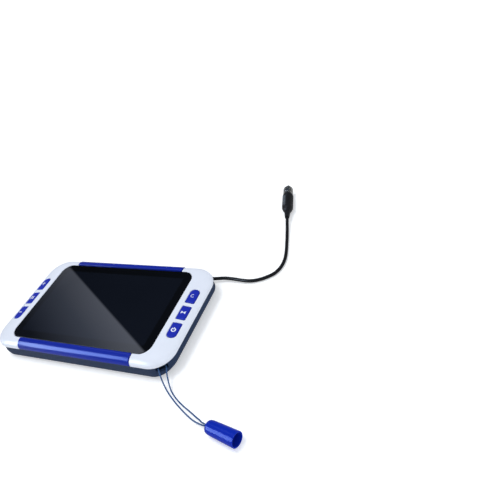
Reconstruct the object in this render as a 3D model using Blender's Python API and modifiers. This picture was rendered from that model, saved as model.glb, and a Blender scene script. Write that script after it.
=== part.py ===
"""Handheld electronic low vision magnifier, lying screen up on a table.

Metres, +Z up, +X along the long side to the right, +Y to the rear. The origin is under the middle
of the body, on the surface that the feet stand on.
"""
import math

import bmesh
import bpy
from mathutils import Matrix, Vector

MM = 0.001

# Driving dimensions of the body
BODY_LENGTH = 156.0 * MM
BODY_DEPTH = 89.7 * MM
CORNER_RADIUS = 16.0 * MM
BASE_Z = 1.8 * MM           # flat underside of the rear shell; the feet reach down to zero
PARTING_Z = 12.2 * MM       # where the two shells meet
BRIM_Z = 11.4 * MM          # the foot of the thin brim that hangs outside the rear shell
BRIM_THICKNESS = 0.6 * MM
FACE_Z = 16.9 * MM          # the front shell's top, level with the glass
RAIL_CREST_Z = 17.8 * MM
GAP = 0.3 * MM              # clearance between pieces that rest on each other

# The rear shell's outside and its hollow, from below upwards: how far each ring lies inside the
# body's outline at the ends and at the long sides, its corner radius and its height.
# The ends slope in under the buttons as finger grips; the long sides stand nearly upright.
BELLY = (
    (5.4, 1.2, 10.5, 1.8),
    (4.5, 0.7, 11.0, 2.2),
    (1.3, 0.65, 13.5, 4.8),
    (0.8, 0.65, 14.5, 5.8),
    (0.9, 0.9, 15.1, 11.9),
)
HOLLOW = (
    (6.3, 3.4, 9.0, 4.0),
    (2.8, 2.6, 12.5, 6.2),
    (2.4, 2.4, 13.6, 7.2),
    (2.4, 2.4, 13.6, 13.0),
)

# Screen
GLASS_HALF = (61.7 * MM, 37.84 * MM)
GLASS_RADIUS = 8.0 * MM
GLASS_Z = (15.85 * MM, 16.85 * MM)
LEDGE_Z = 14.75 * MM        # the ledge that carries the gasket and glass
OPENING_HALF = (59.9 * MM, 36.0 * MM)
FACE_HALF = (62.4 * MM, 38.5 * MM)
FACE_RADIUS = 8.5 * MM
CROWN_POWER = 2.3           # superellipse power of the front shell's rounded edge

# Rails
RAIL_HALF_LENGTH = 50.0 * MM
RAIL_INNER_Y = 38.3 * MM
RAIL_SEAT_Z = 14.2 * MM
RAIL_SKIRT_Y = 43.2 * MM
RAIL_SKIRT_Z = 12.8 * MM
RAIL_POWER = 2.2

# Buttons: three in a column at each end of the screen
BUTTON_X = 70.5 * MM
BUTTON_HALF_WIDTH = 3.35 * MM
BUTTON_MIDDLE_HALF = 5.8 * MM
BUTTON_OUTER_Y = (9.2 * MM, 21.6 * MM)
BUTTON_END_RADIUS = 3.0 * MM
BUTTON_INNER_RADIUS = 0.7 * MM
BUTTON_TOP_Z = 16.7 * MM
BUTTON_SLOPE = 0.13         # the tops follow the shell, falling outwards
BUTTON_FLANGE = 0.6 * MM
BUTTON_FLANGE_Z = (12.9 * MM, 13.6 * MM)

# Underside
SCREW_AT = (66.3 * MM, 30.0 * MM)
FRONT_BOSS_RADIUS = 2.8 * MM
REAR_BOSS_RADIUS = 3.4 * MM
FOOT_AT = (54.0 * MM, 33.0 * MM)
CAMERA_AT = (32.0 * MM, 6.0 * MM)
LAMP_OFFSET = 17.0 * MM
DOOR_RIGHT = -8.3 * MM
DOOR_HALF_WIDTH = 21.7 * MM
DOOR_FLANGE_HALF = 22.9 * MM

# Lanyard: a slot across the front right corner and a post behind it
LANYARD_ANGLE = math.radians(-51.0)     # the slot's direction about the corner's centre
LANYARD_SLOT_Z = 8.7 * MM
LANYARD_SLOT_HALF = (3.2 * MM, 4.2 * MM, 1.7 * MM)
LANYARD_POST_AT = (68.3 * MM, -36.3 * MM)

# Rear wall sockets
AV_SOCKET_X = 40.0 * MM
AV_SOCKET_Z = 7.6 * MM
CHARGE_SOCKET_X = 10.0 * MM

# Cords
LEAD_DIAMETER = 2.6 * MM
LANYARD_DIAMETER = 1.0 * MM

CORNER_STEPS = 8

# Routes of the free cords, point by point, in millimetres
LEAD_ROUTE = (
    (61.4, 47.6, 6.0), (63.0, 47.45, 5.75), (65.0, 46.9, 5.0), (66.9, 46.0, 4.0), (68.9, 45.7, 3.3),
    (71.8, 46.3, 3.05), (74.8, 46.95, 2.9), (77.9, 47.5, 2.75), (82.0, 47.7, 2.5),
    (86.1, 47.6, 2.25), (90.3, 47.4, 2.0), (94.4, 47.2, 1.8), (98.3, 47.5, 1.6), (102.0, 48.4, 1.45),
    (105.4, 49.9, 1.35), (108.7, 51.8, 1.35), (111.9, 54.2, 1.35), (114.8, 57.3, 1.35),
    (117.3, 63.3, 1.35), (117.8, 71.4, 1.35), (116.3, 80.2, 1.35), (113.2, 91.5, 1.4),
    (109.9, 103.0, 1.9), (107.7, 111.0, 3.4), (106.15, 116.6, 4.55),
)
STRAND_FRONT_ROUTE = (
    (66.5, -35.35, 9.0), (66.1, -36.5, 9.0), (66.75, -37.75, 9.1), (69.1, -41.3, 9.0),
    (70.4, -43.2, 8.3), (72.0, -45.4, 6.7), (74.8, -48.7, 3.8), (78.9, -52.4, 1.7),
    (84.8, -56.6, 0.75), (91.9, -61.0, 0.55), (98.3, -64.5, 0.55), (104.0, -67.3, 0.9),
    (109.4, -69.3, 2.2), (113.2, -70.4, 3.2), (116.6, -70.95, 3.95),
)
STRAND_REAR_ROUTE = (
    (67.5, -34.35, 8.6), (68.8, -34.1, 8.55), (69.9, -34.9, 8.5), (73.2, -38.4, 8.1),
    (74.5, -40.8, 7.4), (75.8, -43.6, 6.0), (78.2, -47.7, 3.3), (81.6, -51.8, 1.5),
    (86.9, -55.7, 0.75), (93.4, -59.3, 0.55), (99.4, -62.1, 0.6), (105.2, -65.0, 1.2),
    (110.3, -67.8, 3.3), (112.1, -69.0, 4.1), (115.0, -70.2, 4.9), (116.65, -70.6, 5.25),
)
TOGGLE_TIP = (117.14, -70.86, 4.58)
TOGGLE_MOUTH = (138.5, -75.78, 5.1)
FAR_PLUG_START = (106.0, 117.15, 4.7)
FAR_PLUG_HEADING = (-0.28, 0.96, 0.0)

scene = bpy.context.scene
parts = None
cutters = None
materials = {}


def clear_scene():
    for obj in list(bpy.data.objects):
        bpy.data.objects.remove(obj, do_unlink=True)


def make_collection(name):
    collection = bpy.data.collections.new(name)
    scene.collection.children.link(collection)
    return collection


def make_material(name, colour, roughness, metallic=0.0):
    material = bpy.data.materials.new(name)
    material.use_nodes = True
    shader = material.node_tree.nodes["Principled BSDF"]
    shader.inputs["Base Color"].default_value = (*colour, 1.0)
    shader.inputs["Roughness"].default_value = roughness
    shader.inputs["Metallic"].default_value = metallic
    materials[name] = material


def make_materials():
    make_material("white_shell", (0.80, 0.82, 0.92), 0.32)
    make_material("rail_blue", (0.02, 0.04, 0.45), 0.18)
    make_material("rear_navy", (0.03, 0.045, 0.09), 0.45)
    make_material("screen_glass", (0.01, 0.012, 0.02), 0.05)
    make_material("button_blue", (0.02, 0.03, 0.36), 0.30)
    make_material("lens_clear", (0.05, 0.05, 0.07), 0.05)
    make_material("lamp_clear", (0.85, 0.85, 0.80), 0.20)
    make_material("black_plastic", (0.015, 0.015, 0.018), 0.35)
    make_material("black_rubber", (0.02, 0.02, 0.02), 0.80)
    make_material("board_green", (0.02, 0.16, 0.07), 0.50)
    make_material("battery_wrap", (0.10, 0.22, 0.36), 0.40)
    make_material("steel", (0.60, 0.60, 0.62), 0.30, 1.0)
    make_material("nickel", (0.72, 0.70, 0.66), 0.22, 1.0)
    make_material("foam", (0.03, 0.03, 0.03), 0.90)
    make_material("cord_black", (0.010, 0.010, 0.012), 0.30)
    make_material("lanyard_cord", (0.06, 0.11, 0.22), 0.60)


def add_object(name, data, material, place=(0.0, 0.0, 0.0)):
    """Link data as a part, or as a cutter when no material is named."""
    obj = bpy.data.objects.new(name, data)
    obj.location = place
    if material:
        data.materials.append(materials[material])
        parts.objects.link(obj)
    else:
        cutters.objects.link(obj)
        obj.hide_render = True
        obj.display_type = "WIRE"
    return obj


def add_mesh(name, bm, material, place=(0.0, 0.0, 0.0), sharp_degrees=35.0):
    mesh = bpy.data.meshes.new(name)
    bmesh.ops.recalc_face_normals(bm, faces=bm.faces)
    bm.to_mesh(mesh)
    bm.free()
    mesh.shade_smooth()
    mesh.set_sharp_from_angle(angle=math.radians(sharp_degrees))
    return add_object(name, mesh, material, place)


def corner_arc(centre, radius, start_degrees, steps):
    arc = []
    for k in range(steps + 1):
        angle = math.radians(start_degrees + 90.0 * k / steps)
        arc.append((centre[0] + radius * math.cos(angle), centre[1] + radius * math.sin(angle)))
    return arc


def rounded_outline(low, high, low_radius, high_radius, steps=CORNER_STEPS):
    """A rectangle, anticlockwise; its corners at low y and at high y have radii of their own."""
    outline = corner_arc((high[0] - high_radius, high[1] - high_radius), high_radius, 0, steps)
    outline += corner_arc((low[0] + high_radius, high[1] - high_radius), high_radius, 90, steps)
    outline += corner_arc((low[0] + low_radius, low[1] + low_radius), low_radius, 180, steps)
    outline += corner_arc((high[0] - low_radius, low[1] + low_radius), low_radius, 270, steps)
    return outline


def body_ring(half_x, half_y, radius, z, steps=CORNER_STEPS):
    outline = rounded_outline((-half_x, -half_y), (half_x, half_y), radius, radius, steps)
    return [(x, y, z) for x, y in outline]


def loft(name, rings, material):
    """A closed solid through rings of equal point count, lowest ring first."""
    bm = bmesh.new()
    loops = [[bm.verts.new(point) for point in ring] for ring in rings]
    for lower, upper in zip(loops, loops[1:]):
        for i, vert in enumerate(lower):
            j = (i + 1) % len(lower)
            bm.faces.new((vert, lower[j], upper[j], upper[i]))
    bm.faces.new(list(reversed(loops[0])))
    bm.faces.new(loops[-1])
    return add_mesh(name, bm, material)


def block(name, low, high, material, corner=0.0, steps=4):
    """A box between two corners given in metres, its upright edges rounded by corner."""
    bm = bmesh.new()
    bmesh.ops.create_cube(bm, size=1.0)
    size = [b - a for a, b in zip(low, high)]
    bmesh.ops.scale(bm, vec=size, verts=bm.verts)
    if corner:
        upright = [e for e in bm.edges if abs(e.verts[0].co.z - e.verts[1].co.z) > size[2] / 2]
        bmesh.ops.bevel(bm, geom=upright, offset=corner, offset_type="OFFSET", segments=steps,
                        profile=0.5, affect="EDGES")
    centre = [(a + b) / 2 for a, b in zip(low, high)]
    return add_mesh(name, bm, material, centre)


def centred_plate(name, half, z_range, material, corner, steps=CORNER_STEPS):
    low = (-half[0], -half[1], z_range[0])
    high = (half[0], half[1], z_range[1])
    return block(name, low, high, material, corner, steps)


def cylinder(name, at, radius, z_range, material, segments=24):
    bm = bmesh.new()
    bmesh.ops.create_cone(bm, cap_ends=True, segments=segments, radius1=radius, radius2=radius,
                          depth=z_range[1] - z_range[0])
    return add_mesh(name, bm, material, (at[0], at[1], sum(z_range) / 2))


def cross_cylinder(name, x, z, radius, y_range, material, segments=20):
    """A cylinder along Y."""
    obj = cylinder(name, (x, sum(y_range) / 2), radius, (z - abs(y_range[1] - y_range[0]) / 2,
                   z + abs(y_range[1] - y_range[0]) / 2), material, segments)
    obj.rotation_euler = (math.pi / 2, 0.0, 0.0)
    return obj


def turned(name, profile, material, start, heading, steps=20):
    """Turn a profile of (radius, distance) pairs about the line from start along heading.

    The profile starts on the far end of the axis and runs down the outer side.
    """
    mesh = bpy.data.meshes.new(name)
    points = [(radius, 0.0, distance) for radius, distance in profile]
    mesh.from_pydata(points, [(i, i + 1) for i in range(len(points) - 1)], [])
    obj = add_object(name, mesh, material, start)
    obj.rotation_mode = "QUATERNION"
    obj.rotation_quaternion = Vector(heading).to_track_quat("Z", "Y")
    screw = obj.modifiers.new("Turn", "SCREW")
    screw.axis = "Z"
    screw.angle = 2.0 * math.pi
    screw.steps = steps
    screw.render_steps = steps
    screw.use_merge_vertices = True
    screw.merge_threshold = 0.00001
    screw.use_smooth_shade = True
    return obj


def smooth_route(route, spacing):
    """Evenly spaced points on a smooth curve through the route's own points, in metres."""
    knots = [Vector(point) * MM for point in route]
    knots = [2 * knots[0] - knots[1]] + knots + [2 * knots[-1] - knots[-2]]
    fine = []
    for before, a, b, after in zip(knots, knots[1:], knots[2:], knots[3:]):
        for k in range(20):
            t = k / 20
            fine.append(0.5 * (2 * a + (b - before) * t + (2 * before - 5 * a + 4 * b - after) * t ** 2
                               + (3 * a - before - 3 * b + after) * t ** 3))
    fine.append(knots[-2])
    lengths = [0.0]
    for a, b in zip(fine, fine[1:]):
        lengths.append(lengths[-1] + (b - a).length)
    count = max(2, round(lengths[-1] / spacing))
    points = []
    index = 0
    for k in range(count + 1):
        target = lengths[-1] * k / count
        while index < len(lengths) - 2 and lengths[index + 1] < target:
            index += 1
        span = lengths[index + 1] - lengths[index]
        points.append(fine[index].lerp(fine[index + 1], (target - lengths[index]) / span))
    return points


def cord(name, route, diameter, material):
    curve = bpy.data.curves.new(name, "CURVE")
    curve.dimensions = "3D"
    curve.bevel_depth = diameter / 2
    curve.bevel_resolution = 2
    curve.use_fill_caps = True
    points = smooth_route(route, diameter * 2.7)
    spline = curve.splines.new("POLY")
    spline.points.add(len(points) - 1)
    for point, place in zip(spline.points, points):
        point.co = (*place, 1.0)
    return add_object(name, curve, material)


def boolean(target, tool, operation):
    modifier = target.modifiers.new(tool.name, "BOOLEAN")
    modifier.operation = operation
    modifier.solver = "EXACT"
    modifier.object = tool


def cut(target, tool):
    boolean(target, tool, "DIFFERENCE")


def join(target, tool):
    boolean(target, tool, "UNION")


def corners(at):
    """The four mirrored places of a fitting, with a number for each."""
    places = [(at[0], at[1]), (-at[0], at[1]), (-at[0], -at[1]), (at[0], -at[1])]
    return enumerate(places, start=1)


# ---------------------------------------------------------------- front shell

def crown_rings(count=8):
    """Rings of the front shell's outside, from its rim up to the flat land round the glass."""
    rings = []
    for k in range(count + 1):
        angle = math.pi / 2 * k / count
        across = math.cos(angle) ** (2 / CROWN_POWER) if k < count else 0.0
        rise = math.sin(angle) ** (2 / CROWN_POWER)
        rings.append(body_ring(FACE_HALF[0] + (BODY_LENGTH / 2 - FACE_HALF[0]) * across,
                               FACE_HALF[1] + (BODY_DEPTH / 2 - FACE_HALF[1]) * across,
                               FACE_RADIUS + (CORNER_RADIUS - FACE_RADIUS) * across,
                               PARTING_Z + (FACE_Z - PARTING_Z) * rise))
    return rings


def make_front_shell():
    lip_out = 2.7 * MM
    lip_in = 3.9 * MM
    lip_z = 11.0 * MM
    half = (BODY_LENGTH / 2, BODY_DEPTH / 2)
    lip = [body_ring(half[0] - lip_out, half[1] - lip_out, CORNER_RADIUS - lip_out, z)
           for z in (lip_z, PARTING_Z)]
    brim = [body_ring(half[0] - inset, half[1] - inset, CORNER_RADIUS - inset, z)
            for inset, z in ((BRIM_THICKNESS, PARTING_Z), (BRIM_THICKNESS, BRIM_Z), (0.0, BRIM_Z))]
    shell = loft("front_shell", lip + brim + crown_rings(), "white_shell")
    cut(shell, centred_plate("cut_lip", (half[0] - lip_in, half[1] - lip_in),
                             (lip_z - 1 * MM, PARTING_Z), None, CORNER_RADIUS - lip_in))
    for side in (-1, 1):
        x = sorted((side * 63.0 * MM, side * 75.6 * MM))
        cut(shell, block("cut_end_%d" % side, (x[0], -34.2 * MM, 10.0 * MM),
                         (x[1], 34.2 * MM, 14.0 * MM), None, 2.0 * MM))
    cut(shell, centred_plate("cut_opening", OPENING_HALF, (9 * MM, 19 * MM), None, 3.0 * MM, 4))
    pocket = (GLASS_HALF[0] + GAP, GLASS_HALF[1] + GAP)
    cut(shell, centred_plate("cut_glass_pocket", pocket, (LEDGE_Z, 19 * MM), None, GLASS_RADIUS + GAP))
    for side in (-1, 1):
        reach = RAIL_HALF_LENGTH + GAP
        for label, inner, floor in (("seat", RAIL_INNER_Y - GAP, RAIL_SEAT_Z - GAP),
                                    ("skirt", RAIL_SKIRT_Y - GAP, RAIL_SKIRT_Z - GAP),
                                    ("brim", half[1] - BRIM_THICKNESS - GAP, BRIM_Z - 1 * MM)):
            y = sorted((side * inner, side * 52.0 * MM))
            cut(shell, block("cut_rail_%s_%d" % (label, side), (-reach, y[0], floor),
                             (reach, y[1], 20 * MM), None))
    for name, side, low_y, high_y, low_r, high_r in button_table():
        ring = button_ring(side, low_y, high_y, low_r, high_r, GAP)
        cut(shell, loft("cut_" + name, [[(x, y, 12.0 * MM) for x, y in ring],
                                        [(x, y, 19.0 * MM) for x, y in ring]], None))
    for number, at in corners(SCREW_AT):
        join(shell, cylinder("front_boss_%d" % number, at, FRONT_BOSS_RADIUS,
                             (9.1 * MM, 14.6 * MM), None, 20))
        cut(shell, cylinder("front_boss_hole_%d" % number, at, 1.3 * MM, (8.0 * MM, 12.4 * MM),
                            None, 16))


def rail_outline(side):
    """The rail's section: a rounded outer face, a seat and a skirt that hangs over the shell."""
    outline = []
    reach_y = BODY_DEPTH / 2 - 38.9 * MM
    reach_z = RAIL_CREST_Z - PARTING_Z
    count = 9
    for k in range(count + 1):
        angle = math.radians(5 + 85 * k / count)
        outline.append((38.9 * MM + reach_y * math.cos(angle) ** (2 / RAIL_POWER),
                        PARTING_Z + reach_z * math.sin(angle) ** (2 / RAIL_POWER)))
    outline += [(38.5 * MM, 17.6 * MM), (RAIL_INNER_Y, 17.2 * MM), (RAIL_INNER_Y, RAIL_SEAT_Z),
                (RAIL_SKIRT_Y, RAIL_SEAT_Z), (RAIL_SKIRT_Y, RAIL_SKIRT_Z),
                (BODY_DEPTH / 2 - BRIM_THICKNESS, RAIL_SKIRT_Z),
                (BODY_DEPTH / 2 - BRIM_THICKNESS, BRIM_Z), (outline[0][0], BRIM_Z)]
    return [(side * y, z) for y, z in outline]


def make_rail(name, side):
    bm = bmesh.new()
    verts = [bm.verts.new((-RAIL_HALF_LENGTH, y, z)) for y, z in rail_outline(side)]
    face = bm.faces.new(verts)
    swept = bmesh.ops.extrude_face_region(bm, geom=[face])["geom"]
    moved = [item for item in swept if isinstance(item, bmesh.types.BMVert)]
    bmesh.ops.translate(bm, vec=(2 * RAIL_HALF_LENGTH, 0, 0), verts=moved)
    add_mesh(name, bm, "rail_blue")


# ---------------------------------------------------------------- buttons

def button_table():
    """Name, side, lowest and highest y, and the corner radii at those two ends."""
    inner, outer = BUTTON_OUTER_Y
    rows = []
    for side, word in ((-1, "left"), (1, "right")):
        rows.append(("button_%s_rear" % word, side, inner, outer, BUTTON_INNER_RADIUS,
                     BUTTON_END_RADIUS))
        rows.append(("button_%s_middle" % word, side, -BUTTON_MIDDLE_HALF, BUTTON_MIDDLE_HALF,
                     BUTTON_INNER_RADIUS, BUTTON_INNER_RADIUS))
        rows.append(("button_%s_front" % word, side, -outer, -inner, BUTTON_END_RADIUS,
                     BUTTON_INNER_RADIUS))
    return rows


def button_ring(side, low_y, high_y, low_radius, high_radius, grow, steps=4):
    low = (side * BUTTON_X - BUTTON_HALF_WIDTH - grow, low_y - grow)
    high = (side * BUTTON_X + BUTTON_HALF_WIDTH + grow, high_y + grow)
    return rounded_outline(low, high, low_radius + grow, high_radius + grow, steps)


def make_button(name, side, low_y, high_y, low_radius, high_radius):
    centre = Vector((side * BUTTON_X, (low_y + high_y) / 2, BUTTON_FLANGE_Z[0]))

    def ring(grow, z, slanted):
        points = []
        for x, y in button_ring(side, low_y, high_y, low_radius, high_radius, grow):
            drop = BUTTON_SLOPE * (abs(x) - BUTTON_X) if slanted else 0.0
            points.append(Vector((x, y, z - drop)) - centre)
        return points

    edge = 0.4 * MM
    button = loft(name, [ring(BUTTON_FLANGE, BUTTON_FLANGE_Z[0], False),
                         ring(BUTTON_FLANGE, BUTTON_FLANGE_Z[1], False),
                         ring(0.0, BUTTON_FLANGE_Z[1], False),
                         ring(0.0, BUTTON_TOP_Z - edge, True),
                         ring(-edge * 0.3, BUTTON_TOP_Z - edge * 0.3, True),
                         ring(-edge, BUTTON_TOP_Z, True)], "button_blue")
    button.location = centre


def make_key_switch(name, x, y):
    base_z = 10.8 * MM
    profile = [(0.0, 0.9 * MM), (1.0 * MM, 0.9 * MM), (1.3 * MM, 0.5 * MM), (2.3 * MM, 0.4 * MM),
               (2.3 * MM, 0.0), (0.0, 0.0)]
    turned(name, profile, "steel", (x, y, base_z), (0, 0, 1), 12)


def make_keys():
    for side, word in ((-1, "left"), (1, "right")):
        x = sorted((side * 64.0 * MM, side * 74.0 * MM))
        block(word + "_key_board", (x[0], -24 * MM, 9.6 * MM), (x[1], 24 * MM, 10.5 * MM),
              "board_green", 1.0 * MM)
    for name, side, low_y, high_y, low_radius, high_radius in button_table():
        make_button(name, side, low_y, high_y, low_radius, high_radius)
        make_key_switch(name.replace("button", "key_switch"), side * BUTTON_X, (low_y + high_y) / 2)


# ---------------------------------------------------------------- rear shell

def shell_rings(table):
    rings = []
    for inset_x, inset_y, radius, z in table:
        rings.append(body_ring(BODY_LENGTH / 2 - inset_x * MM, BODY_DEPTH / 2 - inset_y * MM,
                               radius * MM, z * MM))
    return rings


def make_rear_shell():
    shell = loft("rear_shell", shell_rings(BELLY), "rear_navy")
    cut(shell, loft("cut_hollow", shell_rings(HOLLOW), None))
    join(shell, block("bay_block", (-73.0 * MM, -25.2 * MM, 3.0 * MM),
                      (-5.0 * MM, 25.2 * MM, 5.0 * MM), None))
    for number, at in corners(SCREW_AT):
        join(shell, cylinder("rear_boss_%d" % number, at, REAR_BOSS_RADIUS, (3.0 * MM, 8.8 * MM),
                             None, 24))
    join(shell, cylinder("post_boss", LANYARD_POST_AT, 2.2 * MM, (3.4 * MM, 6.0 * MM), None, 16))
    slot_end = DOOR_RIGHT + GAP
    cut(shell, block("cut_door_lower", (-90 * MM, -DOOR_HALF_WIDTH - GAP, 0.5 * MM),
                     (slot_end, DOOR_HALF_WIDTH + GAP, 2.8 * MM), None))
    cut(shell, block("cut_door_groove", (-90 * MM, -DOOR_FLANGE_HALF - GAP, 2.6 * MM),
                     (slot_end, DOOR_FLANGE_HALF + GAP, 3.8 * MM), None))
    cut(shell, block("cut_bay_mouth", (-68 * MM, -19.7 * MM, 3.5 * MM),
                     (-10 * MM, 19.7 * MM, 6 * MM), None, 1.0 * MM))
    for number, at in corners(SCREW_AT):
        cut(shell, cylinder("counterbore_%d" % number, at, 2.6 * MM, (0.5 * MM, 4.1 * MM), None, 24))
        cut(shell, cylinder("screw_hole_%d" % number, at, 1.35 * MM, (3.8 * MM, 10.0 * MM),
                            None, 16))
    for number, at in corners(FOOT_AT):
        cut(shell, cylinder("foot_recess_%d" % number, at, 4.35 * MM, (0.5 * MM, 2.7 * MM), None, 24))
    cut(shell, cylinder("cut_camera_recess", CAMERA_AT, 8.3 * MM, (0.5 * MM, 3.1 * MM), None, 32))
    cut(shell, cylinder("cut_camera_hole", CAMERA_AT, 6.8 * MM, (2.8 * MM, 5 * MM), None, 32))
    for side in (-1, 1):
        at = (CAMERA_AT[0] + side * LAMP_OFFSET, CAMERA_AT[1])
        cut(shell, cylinder("cut_lamp_recess_%d" % side, at, 3.8 * MM, (0.5 * MM, 2.9 * MM), None, 24))
        cut(shell, cylinder("cut_lamp_hole_%d" % side, at, 2.9 * MM, (2.6 * MM, 5 * MM), None, 24))
    cut(shell, cross_cylinder("cut_av_hole", AV_SOCKET_X, AV_SOCKET_Z, 1.9 * MM,
                              (39 * MM, 47 * MM), None))
    cut(shell, block("cut_charge_hole", (CHARGE_SOCKET_X - 4.1 * MM, 39 * MM, 6.4 * MM),
                     (CHARGE_SOCKET_X + 4.1 * MM, 47 * MM, 9.2 * MM), None))
    slot = block("cut_lanyard_slot", [-half for half in LANYARD_SLOT_HALF], LANYARD_SLOT_HALF, None)
    reach = CORNER_RADIUS - 0.7 * MM
    slot.location = (BODY_LENGTH / 2 - CORNER_RADIUS + reach * math.cos(LANYARD_ANGLE),
                     CORNER_RADIUS - BODY_DEPTH / 2 + reach * math.sin(LANYARD_ANGLE), LANYARD_SLOT_Z)
    slot.rotation_euler = (0.0, 0.0, LANYARD_ANGLE)
    cut(shell, slot)


def make_battery_door():
    """The door slides out to the left; its end carries on the belly's slope."""
    slope = loft("door_shape", shell_rings(BELLY), None)
    door = block("battery_door", (-80 * MM, -DOOR_HALF_WIDTH, 1 * MM),
                 (DOOR_RIGHT, DOOR_HALF_WIDTH, 3.5 * MM), "rear_navy")
    join(door, block("door_flange", (-80 * MM, -DOOR_FLANGE_HALF, 2.9 * MM),
                     (DOOR_RIGHT, DOOR_FLANGE_HALF, 3.5 * MM), None))
    boolean(door, slope, "INTERSECT")
    for k in range(4):
        x = (-64.0 + 2.2 * k) * MM
        cut(door, block("door_groove_%d" % k, (x, -8 * MM, 1 * MM),
                        (x + 0.9 * MM, 8 * MM, 2.15 * MM), None))


# ---------------------------------------------------------------- screen and electronics

def make_screen():
    centred_plate("screen_glass", GLASS_HALF, GLASS_Z, "screen_glass", GLASS_RADIUS)
    gasket = centred_plate("screen_gasket", (61.2 * MM, 37.3 * MM), (15.05 * MM, 15.55 * MM),
                           "foam", 7.0 * MM, 4)
    cut(gasket, centred_plate("cut_gasket", (59.8 * MM, 35.9 * MM), (14 * MM, 17 * MM), None,
                              5.6 * MM, 4))
    centred_plate("lcd_panel", (59.3 * MM, 35.4 * MM), (12.2 * MM, 14.6 * MM), "black_plastic",
                  2.5 * MM, 3)
    centred_plate("lcd_bracket", (62.4 * MM, 38.4 * MM), (11.0 * MM, 11.7 * MM), "steel", 3.0 * MM, 3)


def make_electronics():
    board = block("main_board", (-60 * MM, -34 * MM, 9.4 * MM), (60 * MM, 34 * MM, 10.3 * MM),
                  "board_green", 2.0 * MM, 3)
    cut(board, block("cut_board_notch", (35.0 * MM, 28 * MM, 8 * MM), (45.0 * MM, 40 * MM, 12 * MM),
                     None))
    chip_z = (7.9 * MM, 9.1 * MM)
    chips = (("image_processor", 20, -18, 6.5, 6.5), ("memory_chip", 38, -18, 4.5, 3.5),
             ("charge_controller", 6, 24, 2.5, 2.5))
    for name, x, y, half_x, half_y in chips:
        block(name, ((x - half_x) * MM, (y - half_y) * MM, chip_z[0]),
              ((x + half_x) * MM, (y + half_y) * MM, chip_z[1]), "black_plastic")
    block("battery", (-66.5 * MM, -18.7 * MM, 4.3 * MM), (-12 * MM, 18.7 * MM, 9.0 * MM),
          "battery_wrap", 1.5 * MM, 3)
    block("battery_contacts", (-10.6 * MM, -6 * MM, 5.4 * MM), (-7.4 * MM, 6 * MM, 8.9 * MM),
          "nickel")
    socket = block("av_socket", (36.2 * MM, 30 * MM, 5.7 * MM), (43.8 * MM, 40.7 * MM, 9.8 * MM),
                   "black_plastic")
    cut(socket, cross_cylinder("cut_av_bore", AV_SOCKET_X, AV_SOCKET_Z, 1.55 * MM,
                               (32 * MM, 44 * MM), None, 16))
    charge = block("charge_socket", (CHARGE_SOCKET_X - 3.7 * MM, 35.5 * MM, 6.6 * MM),
                   (CHARGE_SOCKET_X + 3.7 * MM, 41.4 * MM, 9.1 * MM), "nickel")
    cut(charge, block("cut_charge_bore", (CHARGE_SOCKET_X - 3.2 * MM, 36.4 * MM, 7.1 * MM),
                      (CHARGE_SOCKET_X + 3.2 * MM, 44 * MM, 8.6 * MM), None))


def make_camera():
    x, y = CAMERA_AT
    down = (0, 0, -1)
    block("camera_board", (x - 22 * MM, y - 7 * MM, 8.2 * MM), (x + 22 * MM, y + 7 * MM, 8.9 * MM),
          "board_green", 1.5 * MM, 3)
    turned("camera_housing", [(0.0, -0.2 * MM), (4.2 * MM, -0.2 * MM), (4.2 * MM, 3.2 * MM),
                              (6.0 * MM, 3.2 * MM), (6.0 * MM, -1.2 * MM), (0.0, -1.2 * MM)],
           "black_plastic", (x, y, 6.7 * MM), down, 24)
    turned("camera_lens", [(0.0, 2.7 * MM), (1.8 * MM, 2.5 * MM), (3.2 * MM, 2.0 * MM),
                           (3.9 * MM, 1.4 * MM), (3.9 * MM, 0.4 * MM), (0.0, 0.4 * MM)],
           "lens_clear", (x, y, 6.5 * MM), down, 24)
    cylinder("camera_window", CAMERA_AT, 8.0 * MM, (1.95 * MM, 2.8 * MM), "lens_clear", 32)
    for side, word in ((-1, "left"), (1, "right")):
        at = (x + side * LAMP_OFFSET, y)
        turned("lamp_" + word, [(0.0, 3.5 * MM), (1.2 * MM, 3.3 * MM), (2.1 * MM, 2.6 * MM),
                                (2.5 * MM, 1.6 * MM), (2.5 * MM, 0.0), (0.0, 0.0)],
               "lamp_clear", (*at, 7.9 * MM), down, 16)
        cylinder("lamp_window_" + word, at, 3.5 * MM, (1.95 * MM, 2.6 * MM), "lamp_clear", 24)


# ---------------------------------------------------------------- fixings

def make_fixings():
    for number, at in corners(SCREW_AT):
        profile = [(0.0, 11.6 * MM), (0.8 * MM, 11.6 * MM), (1.0 * MM, 11.2 * MM), (1.0 * MM, 3.8 * MM),
                   (2.2 * MM, 3.8 * MM), (2.2 * MM, 2.7 * MM), (1.7 * MM, 2.3 * MM), (0.0, 2.2 * MM)]
        screw = turned("case_screw_%d" % number, profile, "steel", (*at, 0.0), (0, 0, 1), 16)
        for arm in range(2):
            half = (1.3 * MM, 0.25 * MM) if arm else (0.25 * MM, 1.3 * MM)
            cut(screw, block("screw_cross_%d_%d" % (number, arm),
                             (at[0] - half[0], at[1] - half[1], 1 * MM),
                             (at[0] + half[0], at[1] + half[1], 3.1 * MM), None))
    for number, at in corners(FOOT_AT):
        profile = [(0.0, 2.4 * MM), (4.0 * MM, 2.4 * MM), (4.0 * MM, 0.5 * MM), (3.5 * MM, 0.0),
                   (0.0, 0.0)]
        turned("rubber_foot_%d" % number, profile, "black_rubber", (*at, 0.0), (0, 0, 1), 20)


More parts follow.
